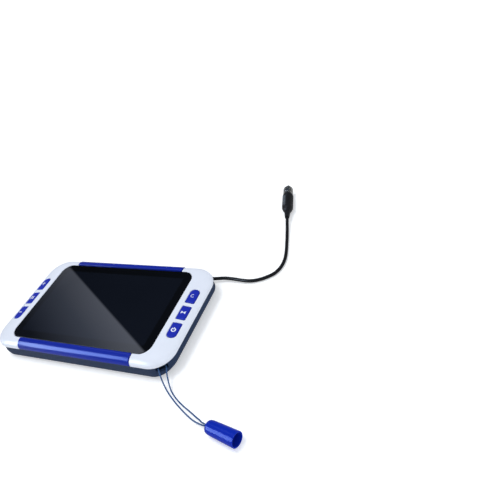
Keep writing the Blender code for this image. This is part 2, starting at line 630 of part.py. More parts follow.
def make_lanyard():
    cylinder("lanyard_post", LANYARD_POST_AT, 1.1 * MM, (6.3 * MM, 10.7 * MM), "steel", 16)
    cord("lanyard_strand_front", STRAND_FRONT_ROUTE, LANYARD_DIAMETER, "lanyard_cord")
    cord("lanyard_strand_rear", STRAND_REAR_ROUTE, LANYARD_DIAMETER, "lanyard_cord")
    tip = Vector(TOGGLE_TIP) * MM
    heading = Vector(TOGGLE_MOUTH) * MM - tip
    length = heading.length
    # from the middle of the hollow's end out to the mouth's rim and back over the domed tip
    profile = [(0.0, 11.5 * MM), (3.5 * MM, 11.5 * MM), (4.2 * MM, length), (4.95 * MM, length),
               (4.65 * MM, 10.5 * MM), (4.4 * MM, 3.0 * MM), (4.0 * MM, 1.3 * MM),
               (3.0 * MM, 0.35 * MM), (0.0, 0.0)]
    turned("lanyard_toggle", profile, "rail_blue", tip, heading, 24)
    knot = [(0.0, 16.1 * MM), (1.6 * MM, 15.6 * MM), (2.2 * MM, 14.0 * MM), (1.6 * MM, 12.4 * MM),
            (0.0, 11.9 * MM)]
    turned("lanyard_knot", knot, "lanyard_cord", tip, heading, 12)


def make_av_lead():
    x = AV_SOCKET_X
    cross_cylinder("av_plug_pin", x, AV_SOCKET_Z, 1.25 * MM, (33.5 * MM, 44.9 * MM), "nickel", 16)
    body = block("av_plug_body", (-7.5 * MM, -2.4 * MM, -2.7 * MM), (7.5 * MM, 2.4 * MM, 2.7 * MM),
                 "black_plastic")
    body.location = (44.5 * MM, 47.6 * MM, 6.6 * MM)
    round_edges = body.modifiers.new("Round", "BEVEL")
    round_edges.width = 1.5 * MM
    round_edges.segments = 3
    turned("av_plug_relief", [(0.0, 8.3 * MM), (1.7 * MM, 8.3 * MM), (2.1 * MM, 0.0), (0.0, 0.0)],
           "black_rubber", (52.3 * MM, 47.6 * MM, 6.0 * MM), (1, 0, 0), 16)
    cord("av_lead", LEAD_ROUTE, LEAD_DIAMETER, "cord_black")
    start = Vector(FAR_PLUG_START) * MM
    heading = Vector(FAR_PLUG_HEADING)
    grip = [(0.0, 30.0 * MM), (4.0 * MM, 30.0 * MM), (4.6 * MM, 29.0 * MM), (4.6 * MM, 13.0 * MM),
            (3.4 * MM, 9.0 * MM), (2.6 * MM, 8.6 * MM), (1.8 * MM, 0.0), (0.0, 0.0)]
    turned("far_plug_grip", grip, "black_plastic", start, heading, 20)
    ring = [(3.5 * MM, 30.3 * MM), (3.5 * MM, 39.3 * MM), (4.1 * MM, 39.3 * MM), (4.1 * MM, 30.3 * MM),
            (3.5 * MM, 30.3 * MM)]
    turned("far_plug_ring", ring, "nickel", start, heading, 20)
    pin = [(0.0, 45.0 * MM), (1.0 * MM, 44.6 * MM), (1.55 * MM, 43.6 * MM), (1.55 * MM, 30.3 * MM),
           (0.0, 30.3 * MM)]
    turned("far_plug_pin", pin, "nickel", start, heading, 16)


def main():
    global parts, cutters
    clear_scene()
    parts = make_collection("low_vision_magnifier")
    cutters = make_collection("cutters")
    make_materials()
    make_front_shell()
    make_rail("front_rail", -1)
    make_rail("rear_rail", 1)
    make_keys()
    make_rear_shell()
    make_battery_door()
    make_screen()
    make_electronics()
    make_camera()
    make_fixings()
    make_lanyard()
    make_av_lead()


main()
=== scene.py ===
"""The looks of a handheld electronic low vision magnifier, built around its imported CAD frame.

Metres, +Z up, +X to the right along the long side, +Y to the rear, all as in the frame.
"""
import math

import bmesh
import bpy
from mathutils import Matrix, Vector


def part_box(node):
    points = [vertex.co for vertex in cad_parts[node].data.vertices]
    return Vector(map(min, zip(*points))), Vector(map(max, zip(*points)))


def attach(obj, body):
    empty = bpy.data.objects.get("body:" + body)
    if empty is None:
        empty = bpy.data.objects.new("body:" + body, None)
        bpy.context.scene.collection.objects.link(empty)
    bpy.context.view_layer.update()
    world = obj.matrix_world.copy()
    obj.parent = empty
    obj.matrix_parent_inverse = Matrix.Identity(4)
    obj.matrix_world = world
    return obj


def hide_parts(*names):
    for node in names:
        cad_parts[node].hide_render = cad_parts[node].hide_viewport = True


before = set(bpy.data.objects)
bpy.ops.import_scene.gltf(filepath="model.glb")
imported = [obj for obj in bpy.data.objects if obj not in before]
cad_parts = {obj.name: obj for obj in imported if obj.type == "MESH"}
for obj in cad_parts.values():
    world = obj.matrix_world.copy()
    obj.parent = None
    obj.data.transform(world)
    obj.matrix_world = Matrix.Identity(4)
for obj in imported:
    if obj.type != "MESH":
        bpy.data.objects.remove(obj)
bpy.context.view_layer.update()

MM = 0.001
TINY = 1e-7                 # a smaller length counts as none
UP = Vector((0.0, 0.0, 1.0))
REAR = (0, 1, 0)
HOUSING = "housing"
CUT, JOIN, KEEP = "DIFFERENCE", "UNION", "INTERSECT"
MATH, VECTOR_MATH = "ShaderNodeMath", "ShaderNodeVectorMath"
SHARP_DEGREES = 32.0        # an edge that bends more than this is shaded as a crease
WHITE = (1.0, 1.0, 1.0)
NOISE_MIDDLE = (0.3, 0.7)   # where most of a noise's values lie


def mm(*values):
    return tuple(value * MM for value in values)


def mm_rows(*rows):
    return [mm(*row) for row in rows]


def middle_of(node):
    low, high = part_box(node)
    return (low + high) / 2


def four_corners(at):
    """A place and its three mirror images in the body's two upright middle planes."""
    return [(x * abs(at.x), y * abs(at.y)) for x in (-1, 1) for y in (-1, 1)]


# ---- sizes read from the frame

SHELL_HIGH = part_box("front_shell")[1]
BODY_HALF = (SHELL_HIGH.x, SHELL_HIGH.y)
FACE_Z = SHELL_HIGH.z
GAP = 0.3 * MM
PARTING_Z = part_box("rear_shell")[1].z + GAP
GLASS_LOW, GLASS_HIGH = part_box("screen_glass")
GLASS_HALF = (GLASS_HIGH - GLASS_LOW) / 2
DOOR_LOW, DOOR_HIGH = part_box("battery_door")
RAIL_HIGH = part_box("front_rail")[1]
SCREW_AT = middle_of("case_screw_1")
FOOT_AT = middle_of("rubber_foot_1")
CAMERA_AT = middle_of("camera_window")
LAMP_AT = {word: middle_of("lamp_window_" + word) for word in ("left", "right")}
POST_AT = middle_of("lanyard_post")
AV_PIN_AT = middle_of("av_plug_pin")
CHARGE_AT = middle_of("charge_socket")

# ---- shapes that the CAD design gives

CORNER_RADIUS = 16.0 * MM
FACE_HALF = mm(62.4, 38.5)      # the flat land round the glass
FACE_RADIUS = 8.5 * MM
GLASS_RADIUS = 8.0 * MM
GLASS_EDGE = 0.3 * MM
CROWN_POWER = 2.3
CROWN_STEPS = 18
BRIM_Z = 11.4 * MM              # the foot of the thin brim that hangs outside the rear shell
BRIM_THICKNESS = 0.6 * MM
LIP_OUTSIDE, LIP_INSIDE, LIP_Z = mm(2.7, 3.9, 11.0)     # the lip that locates the rear shell
LEDGE_Z = 14.75 * MM
OPENING_HALF = mm(59.9, 36.0)
ACTIVE_HALF = mm(55.35, 31.15)  # the lit area of a 5 inch 16:9 panel
# The room for a row of keys' flanges: x from and to, half y, z from and to, in millimetres
KEY_ROOM = (63.0, 75.6, 34.2, 10, 14)
# The rear shell's outside from below upwards: how far each ring lies inside the body's outline at
# the ends and at the long sides, its corner radius and its height, in millimetres
BELLY = (
    (5.4, 1.2, 10.5, 1.8), (4.5, 0.7, 11.0, 2.2), (1.3, 0.65, 13.5, 4.8), (0.8, 0.65, 14.5, 5.8),
    (0.9, 0.9, 15.1, 11.9),
)
BELLY_REACH = 1.1               # how far a rounded crease runs along the wall, in millimetres
# The rear shell's hollow in the same way
HOLLOW = (
    (6.3, 3.4, 9.0, 4.0), (2.8, 2.6, 12.5, 6.2), (2.4, 2.4, 13.6, 7.2), (2.4, 2.4, 13.6, 13.0),
)
DOOR_FLANGE = 1.2 * MM
LANYARD_ANGLE = math.radians(-51.0)

RAIL_MIDDLE_Y = 38.9 * MM       # where the rail's outer rounding starts to fall
RAIL_INNER_Y = 38.3 * MM
RAIL_SEAT_Z = 14.2 * MM
RAIL_SKIRT_Y = 43.2 * MM
RAIL_SKIRT_Z = 12.8 * MM
RAIL_POWER = 2.2
RAIL_STEPS = 22

BUTTON_FLANGE = 0.6 * MM
FLANGE_THICKNESS = 0.7 * MM
BUTTON_END_RADIUS = 3.0 * MM
BUTTON_INNER_RADIUS = 0.7 * MM
BUTTON_SLOPE = 0.13
BUTTON_ROUND = 1.5 * MM         # how far the rounding of a button's top runs in from its edge
BUTTON_DROP = 0.5 * MM          # and how far it falls
BUTTON_STEPS = 9
BUTTON_NAMES = [(side, word, row) for side, word in ((-1, "left"), (1, "right"))
                for row in ("rear", "middle", "front")]
SYMBOL_SCALE = Matrix.Diagonal((1.25, 1.2, 1.0, 1.0))
SYMBOL_DEPTH = mm(-0.04, 0.05)  # a symbol's two faces, from the top of its key

# Routes of the free cords, the same points as in the CAD design, in millimetres
LEAD_DIAMETER = 2.6 * MM
LEAD_ROUTE = (
    (61.4, 47.6, 6.0), (63.0, 47.45, 5.75), (65.0, 46.9, 5.0), (66.9, 46.0, 4.0), (68.9, 45.7, 3.3),
    (71.8, 46.3, 3.05), (74.8, 46.95, 2.9), (77.9, 47.5, 2.75), (82.0, 47.7, 2.5),
    (86.1, 47.6, 2.25), (90.3, 47.4, 2.0), (94.4, 47.2, 1.8), (98.3, 47.5, 1.6),
    (102.0, 48.4, 1.45), (105.4, 49.9, 1.35), (108.7, 51.8, 1.35), (111.9, 54.2, 1.35),
    (114.8, 57.3, 1.35), (117.3, 63.3, 1.35), (117.8, 71.4, 1.35), (116.3, 80.2, 1.35),
    (113.2, 91.5, 1.4), (109.9, 103.0, 1.9), (107.7, 111.0, 3.4), (106.15, 116.6, 4.55),
)
STRAND_DIAMETER = 1.0 * MM
STRAND_TWIST = 2 * math.pi / (3.2 * MM)     # one turn of the three plies in 3.2 mm
STRAND_SIDES = 24
STRAND_FRONT_ROUTE = (
    (66.5, -35.35, 9.0), (66.1, -36.5, 9.0), (66.75, -37.75, 9.1), (69.1, -41.3, 9.0),
    (70.4, -43.2, 8.3), (72.0, -45.4, 6.7), (74.8, -48.7, 3.8), (78.9, -52.4, 1.7),
    (84.8, -56.6, 0.75), (91.9, -61.0, 0.55), (98.3, -64.5, 0.55), (104.0, -67.3, 0.9),
    (109.4, -69.3, 2.2), (113.2, -70.4, 3.2), (116.6, -70.95, 3.95),
)
STRAND_REAR_ROUTE = (
    (67.5, -34.35, 8.6), (68.8, -34.1, 8.55), (69.9, -34.9, 8.5), (73.2, -38.4, 8.1),
    (74.5, -40.8, 7.4), (75.8, -43.6, 6.0), (78.2, -47.7, 3.3), (81.6, -51.8, 1.5),
    (86.9, -55.7, 0.75), (93.4, -59.3, 0.55), (99.4, -62.1, 0.6), (105.2, -65.0, 1.2),
    (110.3, -67.8, 3.3), (112.1, -69.0, 4.1), (115.0, -70.2, 4.9), (116.65, -70.6, 5.25),
)
ROUTE_STEPS = 20
TOGGLE_TIP = Vector((117.14, -70.86, 4.58)) * MM
TOGGLE_MOUTH = Vector((138.5, -75.78, 5.1)) * MM
KNOT_RADIUS = 2.05 * MM
KNOT_DEPTH = 14.0               # how far inside the toggle's tip the knot sits, in millimetres
FAR_PLUG_START = Vector((106.0, 117.15, 4.7)) * MM
FAR_PLUG_HEADING = Vector((-0.28, 0.96, 0.0))

# ---- camera and studio

CAMERA_PLACE = (0.27132, -0.20035, 0.26473)
CAMERA_TURN = (33.45, 38.01, -19.97)    # azimuth, elevation and roll, in degrees
CAMERA_LENS, CAMERA_SENSOR = 39.35, 36.0
ROOM_COLOUR = (0.88, 0.93, 1.0, 1.0)
ROOM_LIGHT = 0.63
ROOM_REFLECTED = 0.12
FLOOR_Z = -0.2 * MM
FLOOR_HALF = 12.0
FLOOR_COLOUR = (0.86, 0.86, 0.86, 1.0)
FLOOR_GLOW = 0.385
FLOOR_FADE = (0.35, 1.6)        # between these distances the floor's glow rises to 1
FLOOR_REFLECTED = 0.3
CARD_Z = 1.2
CARD_CORNERS = ((-3.0, 0.1), (0.2, 3.0))
# Two points of the bright half's straight edge on the card, from where the screen mirrors it
CARD_EDGE = (Vector((-1.611, 1.151, CARD_Z)), Vector((-0.960, 0.753, CARD_Z)))
CARD_REACH = 0.6
CARD_DARK = (0.03, 0.04, 0.06)
# How bright the card is at a distance from that edge, in metres
CARD_GLARE = (
    (0.003, (0.90, 0.98, 1.20)), (0.07, (0.66, 0.73, 0.92)), (0.12, (0.46, 0.53, 0.70)),
    (0.22, (0.23, 0.27, 0.38)), (0.30, (0.08, 0.10, 0.15)),
)
CARD_RISE = ((0.1, 0.7), (0.76, 1.58))  # distances along the edge, and the light's factor there
# Each lamp's direction, distance, two sides, radiance, colour, and where its second side runs
KEY_LIGHT = ((-0.21, 0.02, 0.978), 3.0, (0.95, 0.95), 12.4, (0.93, 0.955, 1.0), UP)
RAIL_SHEEN = ((-0.66, -0.56, 0.50), 2.4, (2.0, 1.7), 9.5, (0.66, 0.80, 1.0), (0.0, -0.79, -0.61))
RIGHT_FILL = ((0.80, -0.30, 0.52), 2.4, (1.4, 1.4), 0.9, (0.90, 0.95, 1.0), UP)


# ---- procedural materials

def feed(tree, value, socket):
    """Set an input, or link it where the value is another node's output."""
    if isinstance(value, bpy.types.NodeSocket):
        tree.links.new(value, socket)
    else:
        socket.default_value = value


def add_node(tree, kind, **inputs):
    """Add a node and feed its named inputs; an underscore stands for a space."""
    made = tree.nodes.new(kind)
    for name, value in inputs.items():
        feed(tree, value, made.inputs[name.replace("_", " ")])
    return made


def calculate(tree, kind, operation, *values):
    """Add a math node and feed its inputs in their order."""
    made = tree.nodes.new(kind)
    made.operation = operation
    for socket, value in zip(made.inputs, values):
        feed(tree, value, socket)
    return made


def remap(tree, value, source=(0.0, 1.0), target=(0.0, 1.0), kind="LINEAR"):
    """Carry a value from one range to another and keep it inside."""
    made = add_node(tree, "ShaderNodeMapRange", Value=value, From_Min=source[0],
                    From_Max=source[1], To_Min=target[0], To_Max=target[1])
    made.interpolation_type = kind
    return made.outputs["Result"]


def object_place(tree):
    return tree.nodes.new("ShaderNodeTexCoord").outputs["Object"]


def shaded(colour, factor):
    return (*(min(1.0, channel * factor) for channel in colour), 1.0)


class Surface:
    """A Principled material whose colour, roughness and relief come from nodes in object space."""

    def __init__(self, name, colour, roughness, metallic=0.0, specular=0.5, shine=WHITE):
        self.material = bpy.data.materials.new(name)
        self.material.use_nodes = True
        self.material.diffuse_color = (*colour, 1.0)
        self.tree = self.material.node_tree
        self.shader = self.tree.nodes["Principled BSDF"]
        self.colour = colour
        self.roughness = roughness
        self.place = object_place(self.tree)
        self.give("Metallic", metallic)
        self.give("Specular IOR Level", specular)
        self.give("Specular Tint", (*shine, 1.0))

    def give(self, name, value):
        feed(self.tree, value, self.shader.inputs[name])

    def noise(self, scale, detail=2.0):
        """Noise from 0 to 1; scale is in cells per metre."""
        return add_node(self.tree, "ShaderNodeTexNoise", Vector=self.place, Scale=scale,
                        Detail=detail).outputs["Fac"]

    def mix(self, factor, first, second):
        """Mix two colours; each is a colour or a socket."""
        blend = self.tree.nodes.new("ShaderNodeMix")
        blend.data_type = "RGBA"
        feed(self.tree, factor, blend.inputs["Factor"])
        colour_inputs = [socket for socket in blend.inputs if socket.type == "RGBA"]
        for socket, value in zip(colour_inputs, (first, second)):
            feed(self.tree, value, socket)
        return next(socket for socket in blend.outputs if socket.type == "RGBA")

    def tint(self, scale, amount):
        """Vary the colour gently in cells of the given scale."""
        self.give("Base Color", self.mix(self.noise(scale, 3.0), shaded(self.colour, 1.0 - amount),
                                         shaded(self.colour, 1.0 + amount)))

    def wear(self, scale, amount):
        """Vary the roughness by amount each way."""
        target = (max(0.0, self.roughness - amount), self.roughness + amount)
        self.give("Roughness", remap(self.tree, self.noise(scale, 4.0), NOISE_MIDDLE, target))

    def relief(self, scale, height, detail=2.0):
        """Raise the surface by a noise; height is in millimetres."""
        bump = add_node(self.tree, "ShaderNodeBump", Strength=1.0, Distance=height * MM,
                        Height=self.noise(scale, detail))
        self.give("Normal", bump.outputs["Normal"])


def finish(name, colour, roughness, tint, wear, relief, **more):
    """A material with the three kinds of variation, each given as its method's arguments."""
    made = Surface(name, colour, roughness, **more)
    made.tint(*tint)
    made.wear(*wear)
    made.relief(*relief)
    return made.material


def gloss_plastic(name, colour, roughness, specular=0.5, uneven=0.03, shine=WHITE):
    """Polished mouldings; uneven is how far the colour and the roughness vary."""
    return finish(name, colour, roughness, (60.0, uneven), (140.0, roughness * uneven * 4.0),
                  (900.0, 0.004), specular=specular, shine=shine)


def spark_plastic(name, colour, roughness, specular=0.4):
    """Moulded plastic with the fine texture of a spark-eroded tool."""
    return finish(name, colour, roughness, (90.0, 0.08), (500.0, 0.07), (3200.0, 0.02, 3.0),
                  specular=specular)


def rubber(name, colour, roughness):
    return finish(name, colour, roughness, (250.0, 0.15), (400.0, 0.08), (2500.0, 0.03, 4.0),
                  specular=0.3)


def metal(name, colour, roughness):
    return finish(name, colour, roughness, (400.0, 0.05), (900.0, roughness * 0.4),
                  (2500.0, 0.004), metallic=1.0)


def screen_glass(name, colour, roughness):
    """Cover glass with black ink round the panel's active area, which is a shade lighter."""
    made = Surface(name, colour, roughness)
    parts = add_node(made.tree, "ShaderNodeSeparateXYZ", Vector=made.place)
    within = []
    for axis, half in zip("XY", ACTIVE_HALF):
        size = calculate(made.tree, MATH, "ABSOLUTE", parts.outputs[axis]).outputs[0]
        within.append(calculate(made.tree, MATH, "LESS_THAN", size, half).outputs[0])
    inside = calculate(made.tree, MATH, "MULTIPLY", *within).outputs[0]
    panel = made.mix(made.noise(25.0), shaded(colour, 0.8), shaded(colour, 1.2))
    made.give("Base Color", made.mix(inside, (0.0008, 0.0008, 0.0010, 1.0), panel))
    made.wear(35.0, 0.005)
    return made.material


def clear_optic(name, colour, roughness, transmission):
    made = Surface(name, colour, roughness)
    made.tint(120.0, 0.05)
    made.wear(150.0, roughness * 0.3)
    made.give("Transmission Weight", transmission)
    made.give("IOR", 1.5)
    return made.material


def circuit_board(name, colour, roughness):
    """Solder mask over copper tracks."""
    made = Surface(name, colour, roughness)
    tracks = add_node(made.tree, "ShaderNodeTexVoronoi", Vector=made.place, Scale=320.0)
    tracks.distance = "MANHATTAN"
    edge = calculate(made.tree, MATH, "GREATER_THAN", tracks.outputs["Distance"], 0.52).outputs[0]
    mask = made.mix(made.noise(400.0), (0.015, 0.13, 0.05, 1.0), (0.03, 0.20, 0.08, 1.0))
    made.give("Base Color", made.mix(edge, mask, (0.06, 0.30, 0.12, 1.0)))
    made.wear(300.0, 0.06)
    return made.material


BLUE_SHINE = (0.45, 0.58, 1.0)  # the blue mouldings shine a little blue
MATERIALS = {name: make(name, *values) for make, name, *values in (
    (gloss_plastic, "white_shell", (0.83, 0.86, 0.94), 0.30, 0.5, 0.006),
    (gloss_plastic, "rail_blue", (0.007, 0.021, 0.33), 0.20, 0.5, 0.03, BLUE_SHINE),
    (spark_plastic, "rear_navy", (0.0155, 0.035, 0.086), 0.42, 0.25),
    (gloss_plastic, "button_blue", (0.011, 0.024, 0.42), 0.32, 0.5, 0.03, BLUE_SHINE),
    (gloss_plastic, "toggle_blue", (0.004, 0.024, 0.42), 0.18, 0.34, 0.03, BLUE_SHINE),
    (screen_glass, "screen_glass", (0.0030, 0.0040, 0.0075), 0.012),
    (finish, "printed_symbol", (0.86, 0.89, 0.97), 0.45, (800.0, 0.04), (900.0, 0.05),
     (4000.0, 0.006)),
    (gloss_plastic, "black_plastic", (0.012, 0.012, 0.014), 0.32),
    (gloss_plastic, "lcd_black", (0.008, 0.008, 0.012), 0.12),
    (spark_plastic, "chip_epoxy", (0.02, 0.02, 0.022), 0.5),
    (rubber, "black_rubber", (0.018, 0.018, 0.019), 0.72),
    (rubber, "foam_tape", (0.03, 0.03, 0.03), 0.9),
    (gloss_plastic, "cord_jacket", (0.010, 0.010, 0.012), 0.30, 0.3),
    (rubber, "lanyard_cord", (0.034, 0.092, 0.23), 0.55),
    (metal, "steel", (0.58, 0.58, 0.60), 0.28),
    (metal, "nickel", (0.72, 0.70, 0.66), 0.20),
    (gloss_plastic, "battery_wrap", (0.10, 0.24, 0.40), 0.35),
    (circuit_board, "circuit_board", (0.02, 0.16, 0.06), 0.38),
    (clear_optic, "lens_clear", (0.05, 0.05, 0.08), 0.04, 0.3),
    (clear_optic, "window_clear", (0.55, 0.56, 0.60), 0.03, 0.9),
    (clear_optic, "lamp_clear", (0.90, 0.88, 0.78), 0.15, 0.5),
)}
# CAD nodes that are shown as they are, and their materials
CARRIED = {
    "screen_gasket": "foam_tape", "lcd_panel": "lcd_black", "lcd_bracket": "steel",
    "main_board": "circuit_board", "left_key_board": "circuit_board",
    "right_key_board": "circuit_board", "camera_board": "circuit_board",
    "image_processor": "chip_epoxy", "memory_chip": "chip_epoxy",
    "charge_controller": "chip_epoxy", "battery": "battery_wrap", "battery_contacts": "nickel",
    "av_socket": "black_plastic", "lanyard_post": "steel",
}
CARRIED.update({"key_switch_%s_%s" % (word, row): "steel" for _, word, row in BUTTON_NAMES})


# ---- mesh building

def add_object(name, data):
    obj = bpy.data.objects.new(name, data)
    bpy.context.scene.collection.objects.link(obj)
    return obj


def piece(name, mesh, material, replaces=(), body=HOUSING):
    """A mesh as a piece on a CAD body, with the given material."""
    obj = add_object(name, mesh)
    mesh.materials.clear()
    mesh.materials.append(MATERIALS[material])
    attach(obj, body)
    if replaces:
        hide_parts(*replaces)
    return obj


def smooth(mesh, sharp_degrees=SHARP_DEGREES):
    mesh.shade_smooth()
    mesh.set_sharp_from_angle(angle=math.radians(sharp_degrees))
    return mesh


def finished(bm, name, sharp_degrees=SHARP_DEGREES):
    mesh = bpy.data.meshes.new(name)
    bmesh.ops.recalc_face_normals(bm, faces=bm.faces)
    bm.to_mesh(mesh)
    bm.free()
    return smooth(mesh, sharp_degrees)


def rounded_outline(low, high, low_radius, high_radius, steps):
    """A rectangle, anticlockwise; its corners at low y and at high y have radii of their own."""
    outline = []
    for corner, (x, y, radius) in enumerate((
            (high[0] - high_radius, high[1] - high_radius, high_radius),
            (low[0] + high_radius, high[1] - high_radius, high_radius),
            (low[0] + low_radius, low[1] + low_radius, low_radius),
            (high[0] - low_radius, low[1] + low_radius, low_radius))):
        for k in range(steps + 1):
            angle = math.radians(90 * corner + 90.0 * k / steps)
            outline.append((x + radius * math.cos(angle), y + radius * math.sin(angle)))
    return outline


def centred_outline(half, radius, steps=6):
    """A rounded rectangle about the origin."""
    return rounded_outline((-half[0], -half[1]), half, radius, radius, steps)


def plate_ring(half, radius, z, steps=20):
    return [(x, y, z) for x, y in centred_outline(half, radius, steps)]


def inset_ring(inset, z):
    """The body's outline moved inwards."""
    return plate_ring((BODY_HALF[0] - inset, BODY_HALF[1] - inset), CORNER_RADIUS - inset, z)


def bridge(bm, first, second):
    """Join two loops of vertices by a band of faces."""
    for k, vert in enumerate(first):
        j = (k + 1) % len(first)
        bm.faces.new((vert, first[j], second[j], second[k]))


def loft(rings, bm=None):
    """A closed body through rings of equal point count, in a bmesh of its own or a given one."""
    bm = bmesh.new() if bm is None else bm
    loops = [[bm.verts.new(point) for point in ring] for ring in rings]
    for first, second in zip(loops, loops[1:]):
        bridge(bm, first, second)
    bm.faces.new(list(reversed(loops[0])))
    bm.faces.new(loops[-1])
    return bm


def aligned(heading):
    return Vector(heading).to_track_quat("Z", "Y").to_matrix()


def placed(start, heading):
    return Matrix.Translation(start) @ aligned(heading).to_4x4()


def move(bm, matrix):
    bmesh.ops.transform(bm, matrix=matrix, verts=bm.verts)


def quarter_turn(steps):
    return [math.pi / 2 * k / steps for k in range(steps + 1)]


def curved(before, corner, after, steps):
    """Points on a curve from before to after that bends at corner."""
    points = []
    for k in range(steps + 1):
        t = k / steps
        points.append(before * (1 - t) ** 2 + corner * 2 * t * (1 - t) + after * t ** 2)
    return points


def fillet(profile, steps=4):
    """Replace each corner of a path of (radius, distance, fillet) by a curve of that size.

    No curve takes up as much as half of a straight side.
    """
    points = []
    for k, (a, b, size) in enumerate(profile):
        corner = Vector((a, b))
        if size == 0.0 or k in (0, len(profile) - 1):
            points.append(corner)
            continue
        before = Vector(profile[k - 1][:2]) - corner
        after = Vector(profile[k + 1][:2]) - corner
        start = corner + before.normalized() * min(size, before.length * 0.49)
        end = corner + after.normalized() * min(size, after.length * 0.49)
        points += curved(start, corner, end, steps)
    return [(point.x, point.y) for point in points]


def turned(profile, start, heading, steps=48):
    """Turn (radius, distance) pairs about the line from start along heading."""
    turn = aligned(heading)
    start = Vector(start)
    bm = bmesh.new()
    loops = []
    for radius, distance in profile:
        if radius < TINY:
            loops.append([bm.verts.new(start + turn @ Vector((0.0, 0.0, distance)))])
            continue
        ring = []
        for k in range(steps):
            angle = 2 * math.pi * k / steps
            place = Vector((radius * math.cos(angle), radius * math.sin(angle), distance))
            ring.append(bm.verts.new(start + turn @ place))
        loops.append(ring)
    if len(loops[0]) > 1 and (Vector(profile[0]) - Vector(profile[-1])).length < TINY:
        bmesh.ops.delete(bm, geom=loops[-1], context="VERTS")
        loops[-1] = loops[0]
    for first, second in zip(loops, loops[1:]):
        if len(first) > 1 and len(second) > 1:
            bridge(bm, first, second)
            continue
        for k in range(steps):
            j = (k + 1) % steps
            if len(second) > 1:
                bm.faces.new((first[0], second[j], second[k]))
            elif len(first) > 1:
                bm.faces.new((first[k], first[j], second[0]))
    return bm


def turned_piece(name, node, material, profile, start, heading, steps=48,
                 sharp_degrees=SHARP_DEGREES, slot=None):
    """A turned piece that takes the place of one CAD node."""
    mesh = finished(turned(profile, start, heading, steps), name, sharp_degrees)
    return piece(name, mesh, material, [node])


def bevel(bm, edges, offset, segments, clamp=False):
    bmesh.ops.bevel(bm, geom=edges, offset=offset, offset_type="OFFSET", segments=segments,
                    profile=0.5, affect="EDGES", clamp_overlap=clamp)


def box_bm(low, high, rounding=0.0, segments=3):
    bm = bmesh.new()
    bmesh.ops.create_cube(bm, size=1.0)
    bmesh.ops.scale(bm, vec=Vector(high) - Vector(low), verts=bm.verts)
    bmesh.ops.translate(bm, vec=(Vector(high) + Vector(low)) / 2, verts=bm.verts)
    if rounding:
        bevel(bm, bm.edges, rounding, segments)
    return bm


def pin_bm(at, radius, z_low, z_high, steps=32):
    """An upright cylinder; all but its place is in millimetres."""
    radius, z_low, z_high = mm(radius, z_low, z_high)
    profile = [(0.0, 0.0), (radius, 0.0), (radius, z_high - z_low), (0.0, z_high - z_low)]
    return turned(profile, (at[0], at[1], z_low), UP, steps)


def pins(operation, at, *sizes):
    """Steps for carve that cut or join pins at one place."""
    return [(operation, pin_bm(at, *size)) for size in sizes]


def carve(bm, name, steps):
    """Cut and join bodies in turn; steps holds (operation, bmesh) pairs."""
    target = add_object(name, finished(bm, name))
    tools = []
    for k, (operation, tool_bm) in enumerate(steps):
        tool = add_object("tool_%d" % k, finished(tool_bm, "tool"))
        tools.append(tool)
        modifier = target.modifiers.new("step_%d" % k, "BOOLEAN")
        modifier.operation = operation
        modifier.solver = "EXACT"
        modifier.object = tool
    graph = bpy.context.evaluated_depsgraph_get()
    mesh = bpy.data.meshes.new_from_object(target.evaluated_get(graph))
    for obj in [target, *tools]:
        bpy.data.objects.remove(obj, do_unlink=True)
    mesh.name = name
    return smooth(mesh)


def even_piece(name, node, material, bm, steps=(), body=HOUSING):
    """A piece, carved if steps are given, that takes the place of one CAD node.

    Its large faces set its shading.
    """
    mesh = carve(bm, name, steps) if steps else finished(bm, name)
    obj = piece(name, mesh, material, [node], body)
    modifier = obj.modifiers.new("even_shading", "WEIGHTED_NORMAL")
    modifier.keep_sharp = True
    modifier.weight = 60
    return obj


def smooth_route(route, spacing):
    """Evenly spaced points on a smooth curve through the route's own points, and its length."""
    knots = [Vector(point) * MM for point in route]
    knots = [2 * knots[0] - knots[1]] + knots + [2 * knots[-1] - knots[-2]]
    fine = []
    for before, a, b, after in zip(knots, knots[1:], knots[2:], knots[3:]):
        for k in range(ROUTE_STEPS):
            t = k / ROUTE_STEPS
            bend = 2 * before - 5 * a + 4 * b - after
            fine.append(0.5 * (2 * a + (b - before) * t + bend * t ** 2
                               + (3 * a - before - 3 * b + after) * t ** 3))
    fine.append(knots[-2])
    lengths = [0.0]
    for a, b in zip(fine, fine[1:]):
        lengths.append(lengths[-1] + (b - a).length)
    count = max(2, round(lengths[-1] / spacing))
    points = []
    index = 0
    for k in range(count + 1):
        target = lengths[-1] * k / count
        while index < len(lengths) - 2 and lengths[index + 1] < target:
            index += 1
        span = lengths[index + 1] - lengths[index]
        points.append(fine[index].lerp(fine[index + 1], (target - lengths[index]) / span))
    return points, lengths[-1]


def swept(path, section, twist_per_metre):
    """Sweep a closed section along a path, turning it steadily as it goes."""
    across = UP.cross(path[1] - path[0]).normalized()
    rings = []
    travelled = 0.0
    for k, place in enumerate(path):
        ahead = (path[min(k + 1, len(path) - 1)] - path[max(k - 1, 0)]).normalized()
        across = (across - ahead * across.dot(ahead)).normalized()
        over = ahead.cross(across)
        if k:
            travelled += (place - path[k - 1]).length
        turn = twist_per_metre * travelled
        rings.append([place + across * radius * math.cos(angle + turn)
                      + over * radius * math.sin(angle + turn) for radius, angle in section])
    return loft(rings)


# ---- camera, floor and lamps

def facing(place, right, over, back):
    """The matrix of a camera or lamp whose own axes run right, over and back."""
    turn = Matrix((right, over, back)).transposed().to_4x4()
    return Matrix.Translation(place) @ turn


